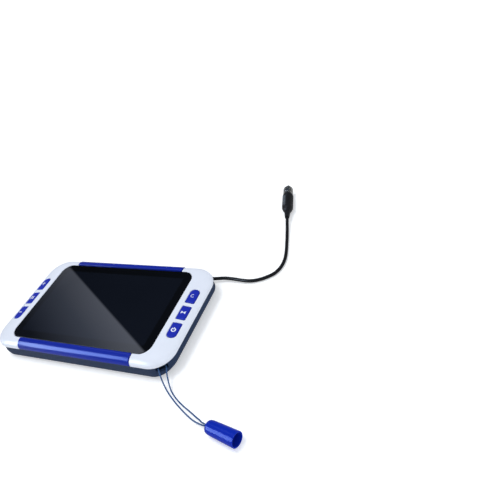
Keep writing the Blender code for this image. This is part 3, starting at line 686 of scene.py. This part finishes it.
def make_camera():
    azimuth, elevation, roll = (math.radians(angle) for angle in CAMERA_TURN)
    back = Vector((math.sin(azimuth) * math.cos(elevation),
                   -math.cos(azimuth) * math.cos(elevation), math.sin(elevation)))
    right = (-back).cross(UP).normalized()
    over = right.cross(-back)
    rolled_right = right * math.cos(roll) + over * math.sin(roll)
    rolled_over = over * math.cos(roll) - right * math.sin(roll)
    data = bpy.data.cameras.new("camera")
    data.lens = CAMERA_LENS
    data.sensor_width = CAMERA_SENSOR
    data.clip_start = 0.01
    data.clip_end = 50.0
    camera = add_object("camera", data)
    camera.matrix_world = facing(CAMERA_PLACE, rolled_right, rolled_over, back)
    bpy.context.scene.camera = camera


def glow_material(name, build):
    """A material of the stage; build returns its shader socket, made in the given tree."""
    material = bpy.data.materials.new(name)
    material.use_nodes = True
    tree = material.node_tree
    tree.nodes.clear()
    add_node(tree, "ShaderNodeOutputMaterial", Surface=build(tree))
    return material


def blended(tree, factor, first, second):
    """Mix two shader sockets."""
    blend = add_node(tree, "ShaderNodeMixShader", Fac=factor)
    tree.links.new(first, blend.inputs[1])
    tree.links.new(second, blend.inputs[2])
    return blend.outputs["Shader"]


def floor_shader(tree):
    """White paper that glows towards its far end, and is dimmer where a surface mirrors it."""
    length = calculate(tree, VECTOR_MATH, "LENGTH", object_place(tree)).outputs["Value"]
    fade = remap(tree, length, FLOOR_FADE, (FLOOR_GLOW, 1.0), "SMOOTHSTEP")
    paper = add_node(tree, "ShaderNodeBsdfPrincipled", Base_Color=FLOOR_COLOUR, Roughness=0.6,
                     Specular_IOR_Level=0.1, Emission_Color=(*WHITE, 1.0),
                     Emission_Strength=fade)
    ray = tree.nodes.new("ShaderNodeLightPath").outputs["Is Glossy Ray"]
    dimming = calculate(tree, MATH, "MULTIPLY", ray, 1.0 - FLOOR_REFLECTED).outputs[0]
    black = add_node(tree, "ShaderNodeEmission", Strength=0.0)
    return blended(tree, dimming, paper.outputs["BSDF"], black.outputs["Emission"])


def card_shader(tree):
    """Black, but for a bright half whose straight edge the screen mirrors as a diagonal."""
    along = (CARD_EDGE[1] - CARD_EDGE[0]).normalized()
    outward = Vector((along.y, -along.x, 0.0))
    offset = calculate(tree, VECTOR_MATH, "SUBTRACT", object_place(tree),
                       CARD_EDGE[0]).outputs["Vector"]
    from_edge, along_edge = (calculate(tree, VECTOR_MATH, "DOT_PRODUCT", offset, axis)
                             .outputs["Value"] for axis in (outward, along))
    ramp = add_node(tree, "ShaderNodeValToRGB",
                    Fac=remap(tree, from_edge, (-CARD_REACH, CARD_REACH)))
    stops = ramp.color_ramp.elements
    for stop, position in zip(stops, (0.0, 1.0)):
        stop.position = position
        stop.color = (*CARD_DARK, 1.0)
    for away, colour in ((-0.003, CARD_DARK), *CARD_GLARE):
        stop = stops.new(0.5 + away / (2 * CARD_REACH))
        stop.color = (*colour, 1.0)
    return add_node(tree, "ShaderNodeEmission", Strength=remap(tree, along_edge, *CARD_RISE),
                    Color=ramp.outputs["Color"]).outputs["Emission"]


def flat_sheet(name, low, high, z, material):
    mesh = bpy.data.meshes.new(name)
    corners = ((low[0], low[1]), (high[0], low[1]), (high[0], high[1]), (low[0], high[1]))
    mesh.from_pydata([(x, y, z) for x, y in corners], [], [range(4)])
    mesh.materials.append(material)
    obj = add_object(name, mesh)
    return obj


def softbox(name, direction, distance, size, radiance, colour, along):
    """A lamp that faces the origin; its second side runs towards along."""
    data = bpy.data.lights.new(name, "AREA")
    data.shape = "RECTANGLE"
    data.size, data.size_y = size
    data.energy = radiance * math.pi * size[0] * size[1]
    data.color = colour
    light = add_object(name, data)
    place = Vector(direction).normalized() * distance
    back = place.normalized()
    across = Vector(along).cross(back).normalized()
    light.matrix_world = facing(place, across, back.cross(across), back)
    light.visible_camera = False
    return light


def make_world():
    """A dim room, dimmer in reflections, with a white backdrop for the camera alone."""
    world = bpy.data.worlds.new("studio")
    bpy.context.scene.world = world
    world.use_nodes = True
    tree = world.node_tree
    tree.nodes.clear()
    ray = tree.nodes.new("ShaderNodeLightPath")
    strength = remap(tree, ray.outputs["Is Glossy Ray"], target=(ROOM_LIGHT, ROOM_REFLECTED))
    room = add_node(tree, "ShaderNodeBackground", Color=ROOM_COLOUR, Strength=strength)
    backdrop = add_node(tree, "ShaderNodeBackground", Color=(*WHITE, 1.0), Strength=1.0)
    add_node(tree, "ShaderNodeOutputWorld",
             Surface=blended(tree, ray.outputs["Is Camera Ray"], room.outputs["Background"],
                             backdrop.outputs["Background"]))


def make_studio():
    bpy.context.scene.view_settings.view_transform = "Standard"
    make_world()
    flat_sheet("studio_floor", (-FLOOR_HALF, -FLOOR_HALF), (FLOOR_HALF, FLOOR_HALF), FLOOR_Z,
               glow_material("floor_paper", floor_shader))
    card = flat_sheet("studio_card", *CARD_CORNERS, CARD_Z, glow_material("card", card_shader))
    card.visible_camera = False
    card.visible_diffuse = False
    card.visible_shadow = False
    card.visible_transmission = False
    softbox("key", *KEY_LIGHT).visible_glossy = False
    softbox("rail_sheen", *RAIL_SHEEN).visible_diffuse = False
    softbox("right_fill", *RIGHT_FILL).visible_glossy = False


# ---- front shell

def superellipse(angle, power):
    return max(0.0, math.cos(angle)) ** (2 / power), max(0.0, math.sin(angle)) ** (2 / power)


def crown_rings():
    """Rings of the shell's outside, from above its rim up to the flat land round the glass."""
    rings = []
    for angle in quarter_turn(CROWN_STEPS)[1:]:
        across, rise = superellipse(angle, CROWN_POWER)
        half = [face + (body - face) * across for face, body in zip(FACE_HALF, BODY_HALF)]
        rings.append(plate_ring(half, FACE_RADIUS + (CORNER_RADIUS - FACE_RADIUS) * across,
                                PARTING_Z + (FACE_Z - PARTING_Z) * rise))
    return rings


def crown_height(x):
    """Height of the shell's outside at its ends, where it depends only on x."""
    across = (abs(x) - FACE_HALF[0]) / (BODY_HALF[0] - FACE_HALF[0])
    across = min(max(across, 0.0), 1.0)
    rise = (1.0 - across ** CROWN_POWER) ** (1 / CROWN_POWER)
    return PARTING_Z + (FACE_Z - PARTING_Z) * rise


def button_facts(word, row):
    """The button's outline without its flange, its end radii, its middle x and its height there."""
    low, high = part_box("button_%s_%s" % (word, row))
    top = high.z
    low = (low.x + BUTTON_FLANGE, low.y + BUTTON_FLANGE)
    high = (high.x - BUTTON_FLANGE, high.y - BUTTON_FLANGE)
    low_radius = BUTTON_END_RADIUS if row == "front" else BUTTON_INNER_RADIUS
    high_radius = BUTTON_END_RADIUS if row == "rear" else BUTTON_INNER_RADIUS
    half_width = (high[0] - low[0]) / 2
    middle = (low[0] + high[0]) / 2
    return low, high, low_radius, high_radius, middle, top - BUTTON_SLOPE * half_width


def button_outline(facts, grow):
    low, high, *radii = facts[:4]
    radii = [max(radius + grow, 0.05 * MM) for radius in radii]
    return rounded_outline((low[0] - grow, low[1] - grow), (high[0] + grow, high[1] + grow),
                           *radii, 10)


def button_hole(facts):
    """A cutter that flares where it meets the shell's surface, for a rounded rim."""
    rings = [[(x, y, 11.0 * MM) for x, y in button_outline(facts, GAP)]]
    for grow, drop in ((0.0, 0.45), (0.03, 0.28), (0.12, 0.12), (0.30, 0.01), (0.42, -0.01)):
        ring = button_outline(facts, GAP + grow * MM)
        rings.append([(x, y, crown_height(x) - drop * MM) for x, y in ring])
    rings.append([(x, y, 20.0 * MM) for x, y in button_outline(facts, GAP + 0.5 * MM)])
    return loft(rings)


def glass_pocket():
    """The cutter for the glass, which flares at the shell's face."""
    rings = []
    for grow, z in ((0.0, LEDGE_Z), (0.0, FACE_Z - 0.38 * MM), (0.04 * MM, FACE_Z - 0.2 * MM),
                    (0.14 * MM, FACE_Z - 0.06 * MM), (0.3 * MM, FACE_Z + 0.01 * MM),
                    (0.4 * MM, 19 * MM)):
        half = (GLASS_HALF[0] + GAP + grow, GLASS_HALF[1] + GAP + grow)
        rings.append(plate_ring(half, GLASS_RADIUS + GAP + grow, z))
    return loft(rings)


def make_front_shell():
    brim = [inset_ring(inset * MM, BRIM_Z + rise * MM) for inset, rise in
            ((0.6, 0.12), (0.48, 0.0), (0.2, 0.0), (0.06, 0.06), (0.0, 0.22))]
    body = loft([inset_ring(LIP_OUTSIDE, LIP_Z), inset_ring(LIP_OUTSIDE, PARTING_Z),
                 inset_ring(BRIM_THICKNESS, PARTING_Z)] + brim + crown_rings())
    steps = [(CUT, loft([inset_ring(LIP_INSIDE, z) for z in (LIP_Z - 1 * MM, PARTING_Z)]))]
    near, far, half_y, z_low, z_high = mm(*KEY_ROOM)
    for side in (-1, 1):
        x_low, x_high = sorted((side * near, side * far))
        steps.append((CUT, box_bm((x_low, -half_y, z_low), (x_high, half_y, z_high))))
    steps.append((CUT, loft([plate_ring(OPENING_HALF, 3 * MM, z * MM) for z in (9, 19)])))
    steps.append((CUT, glass_pocket()))
    rail_reach = RAIL_HIGH.x + GAP
    for side in (-1, 1):
        for inner, floor in ((RAIL_INNER_Y, RAIL_SEAT_Z), (RAIL_SKIRT_Y, RAIL_SKIRT_Z),
                             (BODY_HALF[1] - BRIM_THICKNESS, BRIM_Z - 1 * MM)):
            y_low, y_high = sorted((side * (inner - GAP), side * 52 * MM))
            steps.append((CUT, box_bm((-rail_reach, y_low, floor - GAP),
                                      (rail_reach, y_high, 20 * MM))))
    steps += [(CUT, button_hole(button_facts(word, row))) for _, word, row in BUTTON_NAMES]
    for at in four_corners(SCREW_AT):
        steps += pins(JOIN, at, (2.8, 9.1, 14.6)) + pins(CUT, at, (1.3, 8.0, 12.4))
    even_piece("front_shell_moulding", "front_shell", "white_shell", body, steps)


# ---- rails

def rail_outline(side):
    """The rail's section: a rounded outer face, a seat and a skirt that hangs over the shell."""
    reach = (BODY_HALF[1] - RAIL_MIDDLE_Y, RAIL_HIGH.z - PARTING_Z)
    outline = []
    for k in range(RAIL_STEPS + 1):
        across, rise = superellipse(math.radians(5 + 85 * k / RAIL_STEPS), RAIL_POWER)
        outline.append((RAIL_MIDDLE_Y + reach[0] * across, PARTING_Z + reach[1] * rise))
    brim_y = BODY_HALF[1] - BRIM_THICKNESS
    outline += [mm(38.5, 17.6), (RAIL_INNER_Y, 17.2 * MM), (RAIL_INNER_Y, RAIL_SEAT_Z),
                (RAIL_SKIRT_Y, RAIL_SEAT_Z), (RAIL_SKIRT_Y, RAIL_SKIRT_Z), (brim_y, RAIL_SKIRT_Z),
                (brim_y, BRIM_Z), (outline[0][0], BRIM_Z)]
    return [(side * y, z) for y, z in outline]


def make_rail(name, side):
    low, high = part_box(name)
    outline = rail_outline(side)
    bm = loft([[(x, y, z) for y, z in outline] for x in (low.x + 0.15 * MM, high.x - 0.15 * MM)])
    bmesh.ops.recalc_face_normals(bm, faces=bm.faces)
    sharp = [edge for edge in bm.edges if edge.calc_face_angle(0.0) > math.radians(40)]
    bevel(bm, sharp, 0.35 * MM, 3, clamp=True)
    piece(name + "_moulding", finished(bm, name), "rail_blue", [name])


# ---- buttons

def bar(x, y, half_x, half_y):
    return [(x - half_x, y - half_y), (x + half_x, y - half_y), (x + half_x, y + half_y),
            (x - half_x, y + half_y)]


def band(radius, width, start, end, steps=28):
    """Part of a ring between two angles in degrees."""
    outline = []
    for edge, order in ((radius, range(steps + 1)), (radius - width, range(steps, -1, -1))):
        for k in order:
            angle = math.radians(start + (end - start) * k / steps)
            outline.append((edge * math.cos(angle), edge * math.sin(angle)))
    return outline


# The flat outlines of each symbol, in millimetres from the middle of its key
SYMBOLS = {
    ("right", "front"): [band(1.45, 0.62, 118, 422), bar(0.0, 0.95, 0.24, 0.75)],
    ("right", "middle"): [[(-1.35, 1.0), (-1.35, -1.0), (0.15, 0.0)],
                          [(1.35, -1.0), (1.35, 1.0), (-0.15, 0.0)]],
    ("right", "rear"): [band(1.15, 0.30, 60, 330)],
    ("left", "rear"): [bar(0.0, 0.0, 1.3, 0.22), bar(0.0, 0.80, 0.24, 0.54),
                       bar(0.0, -0.80, 0.24, 0.54)],
    ("left", "middle"): [bar(-0.75, 0.0, 0.36, 1.25), bar(0.75, 0.0, 0.36, 1.25)],
    ("left", "front"): [bar(0.0, 0.0, 1.3, 0.30)],
}


def make_button(side, word, row):
    name = "button_%s_%s" % (word, row)
    facts = button_facts(word, row)
    middle, top = facts[4:]
    flange_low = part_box(name)[0].z
    flange_high = flange_low + FLANGE_THICKNESS

    def level(grow, z):
        return [(x, y, z) for x, y in button_outline(facts, grow)]

    def sloped(inset, z):
        return [(x, y, z - BUTTON_SLOPE * (abs(x) - abs(middle)))
                for x, y in button_outline(facts, -inset)]

    rings = [level(BUTTON_FLANGE, flange_low), level(BUTTON_FLANGE, flange_high),
             level(0.0, flange_high), sloped(0.0, top - BUTTON_DROP - 0.35 * MM)]
    for angle in quarter_turn(BUTTON_STEPS):
        rings.append(sloped(BUTTON_ROUND * (1.0 - math.cos(angle)) ** 0.8,
                            top - BUTTON_DROP * (1.0 - math.sin(angle))))
    even_piece(name + "_cap", name, "button_blue", loft(rings), body=name)
    symbol = bmesh.new()
    for outline in SYMBOLS[word, row]:
        loft([[(*mm(x, y), z) for x, y in outline] for z in SYMBOL_DEPTH], symbol)
    centre = Vector((middle, (facts[0][1] + facts[1][1]) / 2, top))
    slope_angle = math.atan(BUTTON_SLOPE) * side
    move(symbol, Matrix.Translation(centre) @ Matrix.Rotation(slope_angle, 4, "Y") @ SYMBOL_SCALE)
    piece(name + "_symbol", finished(symbol, name + "_symbol"), "printed_symbol", body=name)


# ---- screen

def make_screen():
    """The cover glass, its upper and lower rims rounded."""
    rings = []
    for sign, z in ((-1, GLASS_LOW.z), (1, GLASS_HIGH.z)):
        part = []
        for angle in quarter_turn(3):
            back = GLASS_EDGE * (1.0 - math.sin(angle))
            lift = GLASS_EDGE * (1.0 - math.cos(angle))
            half = (GLASS_HALF[0] - back, GLASS_HALF[1] - back)
            part.append(plate_ring(half, GLASS_RADIUS - back, z - sign * lift))
        rings += part if sign < 0 else reversed(part)
    even_piece("screen_cover_glass", "screen_glass", "screen_glass", loft(rings))


# ---- rear shell and door

def shell_ring(inset_x, inset_y, radius, z):
    half = (BODY_HALF[0] - inset_x * MM, BODY_HALF[1] - inset_y * MM)
    return plate_ring(half, radius * MM, z * MM)


def belly_rings():
    """The outside of the rear shell, the creases between its rings rounded."""
    rows = [Vector(row) for row in BELLY]
    path = [rows[0] + Vector((3.0, 3.0, -3.0, 0.0)), *rows]
    rings = [path[0]]
    for before, row, after in zip(path, path[1:], path[2:]):
        start = row + (before - row) * min(0.45, BELLY_REACH / (before - row).length)
        end = row + (after - row) * min(0.45, BELLY_REACH / (after - row).length)
        rings += curved(start, row, end, 5)
    for back, drop in ((0.0, 0.22), (0.06, 0.08), (0.2, 0.0), (0.7, 0.0)):
        rings.append(rows[-1] + Vector((back, back, -back, -drop)))
    return [shell_ring(*row) for row in rings]


def make_rear_shell():
    steps = [(CUT, loft([shell_ring(*row) for row in HOLLOW])),
             (JOIN, box_bm(mm(-73, -25.2, 3), mm(-5, 25.2, 5)))]
    screws = four_corners(SCREW_AT)
    for at in screws:
        steps += pins(JOIN, at, (3.4, 3, 8.8))
    steps += pins(JOIN, POST_AT, (2.2, 3.4, 6))
    end = DOOR_HIGH.x + GAP
    flange_half = DOOR_HIGH.y + GAP
    door_half = flange_half - DOOR_FLANGE
    beyond = -90 * MM
    steps += [
        (CUT, box_bm((beyond, -door_half, 0.5 * MM), (end, door_half, 2.8 * MM))),
        (CUT, box_bm((beyond, -flange_half, 2.6 * MM), (end, flange_half, 3.8 * MM))),
        (CUT, box_bm(mm(-68, -19.7, 3.5), mm(-10, 19.7, 6))),
    ]
    for at in screws:
        steps += pins(CUT, at, (2.6, 0.5, 4.1), (1.35, 3.8, 10))
    for at in four_corners(FOOT_AT):
        steps += pins(CUT, at, (4.35, 0.5, 2.7, 40))
    steps += pins(CUT, CAMERA_AT, (8.3, 0.5, 3.1, 56), (6.8, 2.8, 5, 48))
    for at in LAMP_AT.values():
        steps += pins(CUT, at, (3.8, 0.5, 2.9, 40), (2.9, 2.6, 5, 40))
    # the socket holes flare at the wall's outside
    jack = mm_rows((0.0, 0.0), (1.9, 0.0), (1.9, 4.75), (2.3, 5.35), (2.3, 8), (0.0, 8))
    steps.append((CUT, turned(jack, (AV_PIN_AT.x, 39 * MM, AV_PIN_AT.z), REAR, 40)))
    steps += [(CUT, charge_hole(BODY_HALF[1])), (CUT, lanyard_slot())]
    even_piece("rear_shell_moulding", "rear_shell", "rear_navy", loft(belly_rings()), steps)


def charge_hole(rear):
    rings = []
    for grow, y in ((0.0, 39 * MM), (0.0, rear - 1.1 * MM), (0.45 * MM, rear - 0.5 * MM),
                    (0.45 * MM, rear + 2 * MM)):
        outline = centred_outline((4.1 * MM + grow, 1.4 * MM + grow), 0.6 * MM)
        rings.append([(CHARGE_AT.x + x, y, 7.8 * MM + z) for x, z in outline])
    return loft(rings)


def lanyard_slot():
    """The slot across the front right corner that the lanyard loop comes out of."""
    corner = Vector((BODY_HALF[0] - CORNER_RADIUS, CORNER_RADIUS - BODY_HALF[1], 8.7 * MM))
    turn = Matrix.Rotation(LANYARD_ANGLE, 4, "Z")
    rings = []
    for reach, half_width, half_height in mm_rows((12.1, 4.2, 1.7), (14.5, 4.2, 1.7),
                                                  (15.3, 4.7, 2.2), (18.5, 4.7, 2.2)):
        outline = centred_outline((half_width, half_height), 0.9 * MM)
        rings.append([corner + turn @ Vector((reach, y, z)) for y, z in outline])
    return loft(rings)


def make_battery_door():
    """The sliding door, with a ribbed thumb recess and an arrow towards its opening side."""
    low, high = DOOR_LOW, DOOR_HIGH
    narrow = high.y - DOOR_FLANGE
    beyond = -80 * MM       # past the shell's end wall, which trims the door
    body = box_bm((beyond, -narrow, 1 * MM), (high.x, narrow, high.z))
    steps = [(JOIN, box_bm((beyond, low.y, 2.9 * MM), (high.x, high.y, high.z))),
             (KEEP, loft(belly_rings()))]
    recess = []
    for grow, z in ((0.5 * MM, 1.0 * MM), (0.5 * MM, low.z), (0.0, low.z + 0.4 * MM)):
        ring = plate_ring((4.9 * MM + grow, 8.4 * MM + grow), 2.2 * MM, z, 10)
        recess.append([(-60.7 * MM + x, y, z) for x, y, z in ring])
    steps.append((CUT, loft(recess)))
    rib_x, rib_y = mm(0.35, 7.6)
    for k in range(5):
        x = (-64.6 + 1.95 * k) * MM
        steps.append((JOIN, box_bm((x - rib_x, -rib_y, low.z + 0.05 * MM),
                                   (x + rib_x, rib_y, low.z + 0.6 * MM), 0.15 * MM, 2)))
    arrow = mm_rows((-52.8, 0.0), (-50.0, -2.4), (-50.0, 2.4))
    steps.append((CUT, loft([[(x, y, z) for x, y in arrow]
                             for z in (1.0 * MM, low.z + 0.25 * MM)])))
    even_piece("battery_door_moulding", "battery_door", "rear_navy", body, steps, "battery_door")


# ---- small parts underneath

def cross_cutter(at):
    """The two tapered blades that cut a screw's cross recess."""
    blades = []
    for half in (mm(1.3, 0.25), mm(0.25, 1.3)):
        rings = [[(at.x + sx * half[0] * grow, at.y + sy * half[1] * grow, z)
                  for sx, sy in ((-1, -1), (1, -1), (1, 1), (-1, 1))]
                 for grow, z in ((1.15, 1.5 * MM), (1.0, 2.3 * MM), (0.7, 3.1 * MM))]
        blades.append((CUT, loft(rings)))
    return blades


def make_fixings():
    screw = fillet(mm_rows((0.0, 11.6, 0.0), (0.8, 11.6, 0.2), (1.0, 11.2, 0.1), (1.0, 3.8, 0.1),
                           (2.2, 3.8, 0.1), (2.2, 2.75, 0.5), (1.5, 2.2, 0.5), (0.0, 2.2, 0.0)))
    foot = fillet(mm_rows((0.0, 2.4, 0.0), (4.0, 2.4, 0.15), (4.0, 0.35, 0.3), (3.6, 0.0, 0.35),
                          (2.9, 0.0, 0.2), (2.6, 0.25, 0.2), (0.0, 0.3, 0.0)), 5)
    for number in range(1, 5):
        name = "case_screw_%d" % number
        at = middle_of(name)
        even_piece(name + "_turned", name, "steel", turned(screw, (at.x, at.y, 0.0), UP, 32),
                   cross_cutter(at))
        name = "rubber_foot_%d" % number
        at = middle_of(name)
        turned_piece(name + "_moulded", name, "black_rubber", foot, (at.x, at.y, 0.0), UP)


def dome(radius, base, rise, steps):
    """Profile points of a dome, from its top to its rim; all sizes are in millimetres."""
    radius, base, rise = mm(radius, base, rise)
    return [(radius * math.sin(angle), base + rise * math.cos(angle))
            for angle in quarter_turn(steps)]


def make_window(name, node, slot, size, fillet_steps, turn_steps):
    """A clear disc; size is its radius and the rounding of its two rims, in millimetres."""
    low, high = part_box(node)
    at = (low + high) / 2
    radius, upper, lower = mm(*size)
    thick = high.z - low.z
    disc = fillet([(0.0, 0.0, 0.0), (radius, 0.0, upper), (radius, thick, lower),
                   (0.0, thick, 0.0)], fillet_steps)
    turned_piece(name, node, "window_clear", disc, (at.x, at.y, high.z), -UP, turn_steps, slot=slot)


def make_optics():
    make_window("camera_window_disc", "camera_window", "lens_clear", (8.0, 0.15, 0.25), 4, 64)
    x, y = CAMERA_AT.x, CAMERA_AT.y
    barrel = fillet(mm_rows((0.0, -0.2, 0.0), (4.2, -0.2, 0.0), (4.2, 3.2, 0.15), (6.0, 3.2, 0.3),
                            (6.0, -1.2, 0.0), (0.0, -1.2, 0.0)))
    turned_piece("camera_barrel", "camera_housing", "black_plastic", barrel, (x, y, 6.7 * MM), -UP)
    lens = dome(3.9, 1.2, 1.5, 14) + mm_rows((3.9, 0.4), (0.0, 0.4))
    turned_piece("camera_lens_dome", "camera_lens", "lens_clear", lens, (x, y, 6.5 * MM), -UP)
    bulb = dome(2.5, 1.4, 2.1, 12) + mm_rows((2.5, 0.35), (2.5, 0.0), (0.0, 0.0))
    for word, at in LAMP_AT.items():
        make_window("lamp_window_disc_" + word, "lamp_window_" + word, "lamp_clear",
                    (3.5, 0.1, 0.15), 3, 48)
        turned_piece("lamp_dome_" + word, "lamp_" + word, "lamp_clear", bulb,
                     (at.x, at.y, 7.9 * MM), -UP)


def make_charge_socket():
    """A metal can open to the rear, with a contact tongue in its mouth."""
    low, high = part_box("charge_socket")
    half = (high - low) / 2
    wall = 0.5 * MM

    def tube(inset, y_low, y_high):
        outline = centred_outline((half.x - inset, half.z - inset), 0.5 * MM)
        return loft([[(CHARGE_AT.x + x, y, CHARGE_AT.z + z) for x, z in outline]
                     for y in (y_low, y_high)])

    half_x, half_z = mm(2.2, 0.3)
    tongue = box_bm((CHARGE_AT.x - half_x, low.y + 0.5 * MM, CHARGE_AT.z - half_z),
                    (CHARGE_AT.x + half_x, high.y - 1.0 * MM, CHARGE_AT.z + half_z), 0.1 * MM, 2)
    steps = [(CUT, tube(wall, low.y + 0.9 * MM, high.y + 2 * MM)), (JOIN, tongue)]
    even_piece("charge_socket_can", "charge_socket", "nickel", tube(0.0, low.y, high.y), steps)


# ---- AV lead

def ribs(start, end, outer, inner, count):
    """Profile points of a grip with round ribs between two distances."""
    points = []
    for k in range(count):
        base = start + (end - start) * k / count
        pitch = (end - start) / count
        for share, radius in ((0.08, inner), (0.25, outer), (0.72, outer), (0.92, inner)):
            points.append((radius, base + pitch * share))
    return points


def make_av_lead():
    path, length = smooth_route(LEAD_ROUTE, 1.0 * MM)
    curve = bpy.data.curves.new("av_lead_jacket", "CURVE")
    curve.dimensions = "3D"
    curve.bevel_depth = LEAD_DIAMETER / 2
    curve.bevel_resolution = 6
    curve.use_fill_caps = True
    spline = curve.splines.new("POLY")
    spline.points.add(len(path) - 1)
    for point, place in zip(spline.points, path):
        point.co = (*place, 1.0)
    curve.materials.append(MATERIALS["cord_jacket"])
    lead = add_object("av_lead_jacket", curve)
    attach(lead, HOUSING)
    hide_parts("av_lead")
    plugs = make_device_plug() + make_far_plug()


def make_device_plug():
    """The slim right-angle plug in the rear wall, its strain relief and its pin."""
    low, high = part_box("av_plug_body")
    body = even_piece("av_plug_moulding", "av_plug_body", "black_plastic",
                      box_bm(low, high, 1.5 * MM, 5))
    low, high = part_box("av_plug_relief")
    reach = high.x - low.x
    pitch = 1.5 * MM
    cone = mm_rows((0.0, 0.0), (2.1, 0.0))
    for k in range(5):
        base = 0.7 * MM + pitch * k
        outer = (2.1 - 0.08 * k) * MM
        for share, drop in ((0.0, 0.0), (0.18, 0.32), (0.48, 0.32), (0.66, 0.0)):
            cone.append((outer - drop * MM, base + pitch * share))
    cone += [(1.7 * MM, reach - 0.2 * MM), (1.5 * MM, reach), (0.0, reach)]
    start = (low.x, (low.y + high.y) / 2, (low.z + high.z) / 2)
    relief = turned_piece("av_plug_relief_ribbed", "av_plug_relief", "black_rubber", cone, start,
                          (1, 0, 0))
    low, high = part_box("av_plug_pin")
    radius = (high.x - low.x) / 2
    span = high.y - low.y
    pin = fillet([(0.0, 0.0, 0.0), (0.75 * radius, 0.0, 0.3 * MM), (radius, 1.0 * MM, 0.3 * MM),
                  (radius, span, 0.1 * MM), (0.0, span, 0.0)])
    contact = turned_piece("av_plug_pin_turned", "av_plug_pin", "nickel", pin,
                           (AV_PIN_AT.x, low.y, AV_PIN_AT.z), REAR)
    return [body, relief, contact]


def make_far_plug():
    """The phono plug on the lead's far end: a ribbed grip, a slotted ring and a pin."""
    line = (FAR_PLUG_START, FAR_PLUG_HEADING)
    grip = mm_rows((0.0, 0.0), (1.8, 0.0), (2.0, 2.0), (1.95, 2.6), (2.2, 3.2), (2.35, 5.2),
                   (2.3, 5.8), (2.5, 6.4), (2.6, 8.6), (3.2, 9.0), (4.1, 11.0), (4.6, 13.0))
    grip += ribs(*mm(14.0, 27.0, 4.6, 4.25), 8)
    grip += mm_rows((4.6, 27.6), (4.6, 28.8), (4.3, 29.6), (4.0, 30.0), (0.0, 30.0))
    grip_piece = turned_piece("far_plug_grip_ribbed", "far_plug_grip", "black_plastic", grip,
                              *line)
    ring = mm_rows((3.5, 30.3), (4.1, 30.3), (4.1, 32.0), (3.95, 32.3), (4.1, 32.6), (4.1, 39.0),
                   (3.95, 39.3), (3.6, 39.3), (3.5, 39.1), (3.5, 30.3))
    slots = []
    for half in (mm(5, 0.35), mm(0.35, 5)):
        blade = box_bm((-half[0], -half[1], 34 * MM), (half[0], half[1], 41 * MM))
        move(blade, placed(*line))
        slots.append((CUT, blade))
    name = "far_plug_ring_slotted"
    ring_piece = piece(name, carve(turned(ring, *line), name, slots), "nickel",
                       ["far_plug_ring"])
    pin = fillet(mm_rows((0.0, 30.3, 0.0), (1.55, 30.3, 0.0), (1.55, 43.8, 0.9), (0.7, 45.0, 0.4),
                         (0.0, 45.0, 0.0)), 5)
    pin_piece = turned_piece("far_plug_pin_turned", "far_plug_pin", "nickel", pin, *line)
    return [grip_piece, ring_piece, pin_piece]


# ---- lanyard

def make_toggle():
    """The hollow blue toggle, and inside it the knot, a ball with wound grooves."""
    heading = TOGGLE_MOUTH - TOGGLE_TIP
    length = heading.length
    shape = [*mm_rows((0.0, 11.5, 0.0), (3.5, 11.5, 0.8)), (4.2 * MM, length, 0.25 * MM),
             (4.95 * MM, length, 0.35 * MM),
             *mm_rows((4.65, 10.5, 2.0), (4.42, 3.4, 1.2), (4.1, 1.2, 1.0), (2.9, 0.25, 0.9),
                      (0.0, 0.0, 0.0))]
    toggle = turned_piece("lanyard_toggle_moulding", "lanyard_toggle", "toggle_blue",
                          fillet(shape, 6), TOGGLE_TIP, heading, 64, 40.0)
    knot = bmesh.new()
    bmesh.ops.create_uvsphere(knot, u_segments=32, v_segments=20, radius=KNOT_RADIUS)
    for vert in knot.verts:
        around = math.atan2(vert.co.y, vert.co.x)
        wrap = math.sin(3 * around + vert.co.z / (0.45 * MM))
        vert.co *= 0.93 + 0.07 * wrap
    move(knot, placed(TOGGLE_TIP + heading.normalized() * KNOT_DEPTH * MM, heading))
    return [toggle, piece("lanyard_knot_wound", finished(knot, "knot", 80.0), "lanyard_cord",
                          ["lanyard_knot"])]


def make_strand(name, route):
    """Three-ply cord: a lobed section that turns along its route."""
    path, length = smooth_route(route, 0.22 * MM)
    radius = STRAND_DIAMETER / 2
    section = []
    for k in range(STRAND_SIDES):
        angle = 2 * math.pi * k / STRAND_SIDES
        lobe = abs(math.cos(1.5 * angle))
        section.append((radius * (0.82 + 0.18 * lobe), angle))
    mesh = finished(swept(path, section, STRAND_TWIST), name, 70.0)
    strand = piece(name + "_laid", mesh, "lanyard_cord", [name])


def make_lanyard():
    fittings = make_toggle()
    make_strand("lanyard_strand_front", STRAND_FRONT_ROUTE)
    make_strand("lanyard_strand_rear", STRAND_REAR_ROUTE)


make_camera()
make_studio()
make_av_lead()
make_lanyard()
make_front_shell()
make_rail("front_rail", -1)
make_rail("rear_rail", 1)
for button in BUTTON_NAMES:
    make_button(*button)
make_screen()
make_rear_shell()
make_battery_door()
make_fixings()
make_optics()
make_charge_socket()
for carried_name, carried_material in CARRIED.items():
    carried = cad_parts[carried_name].data
    carried.materials.clear()
    carried.materials.append(MATERIALS[carried_material])
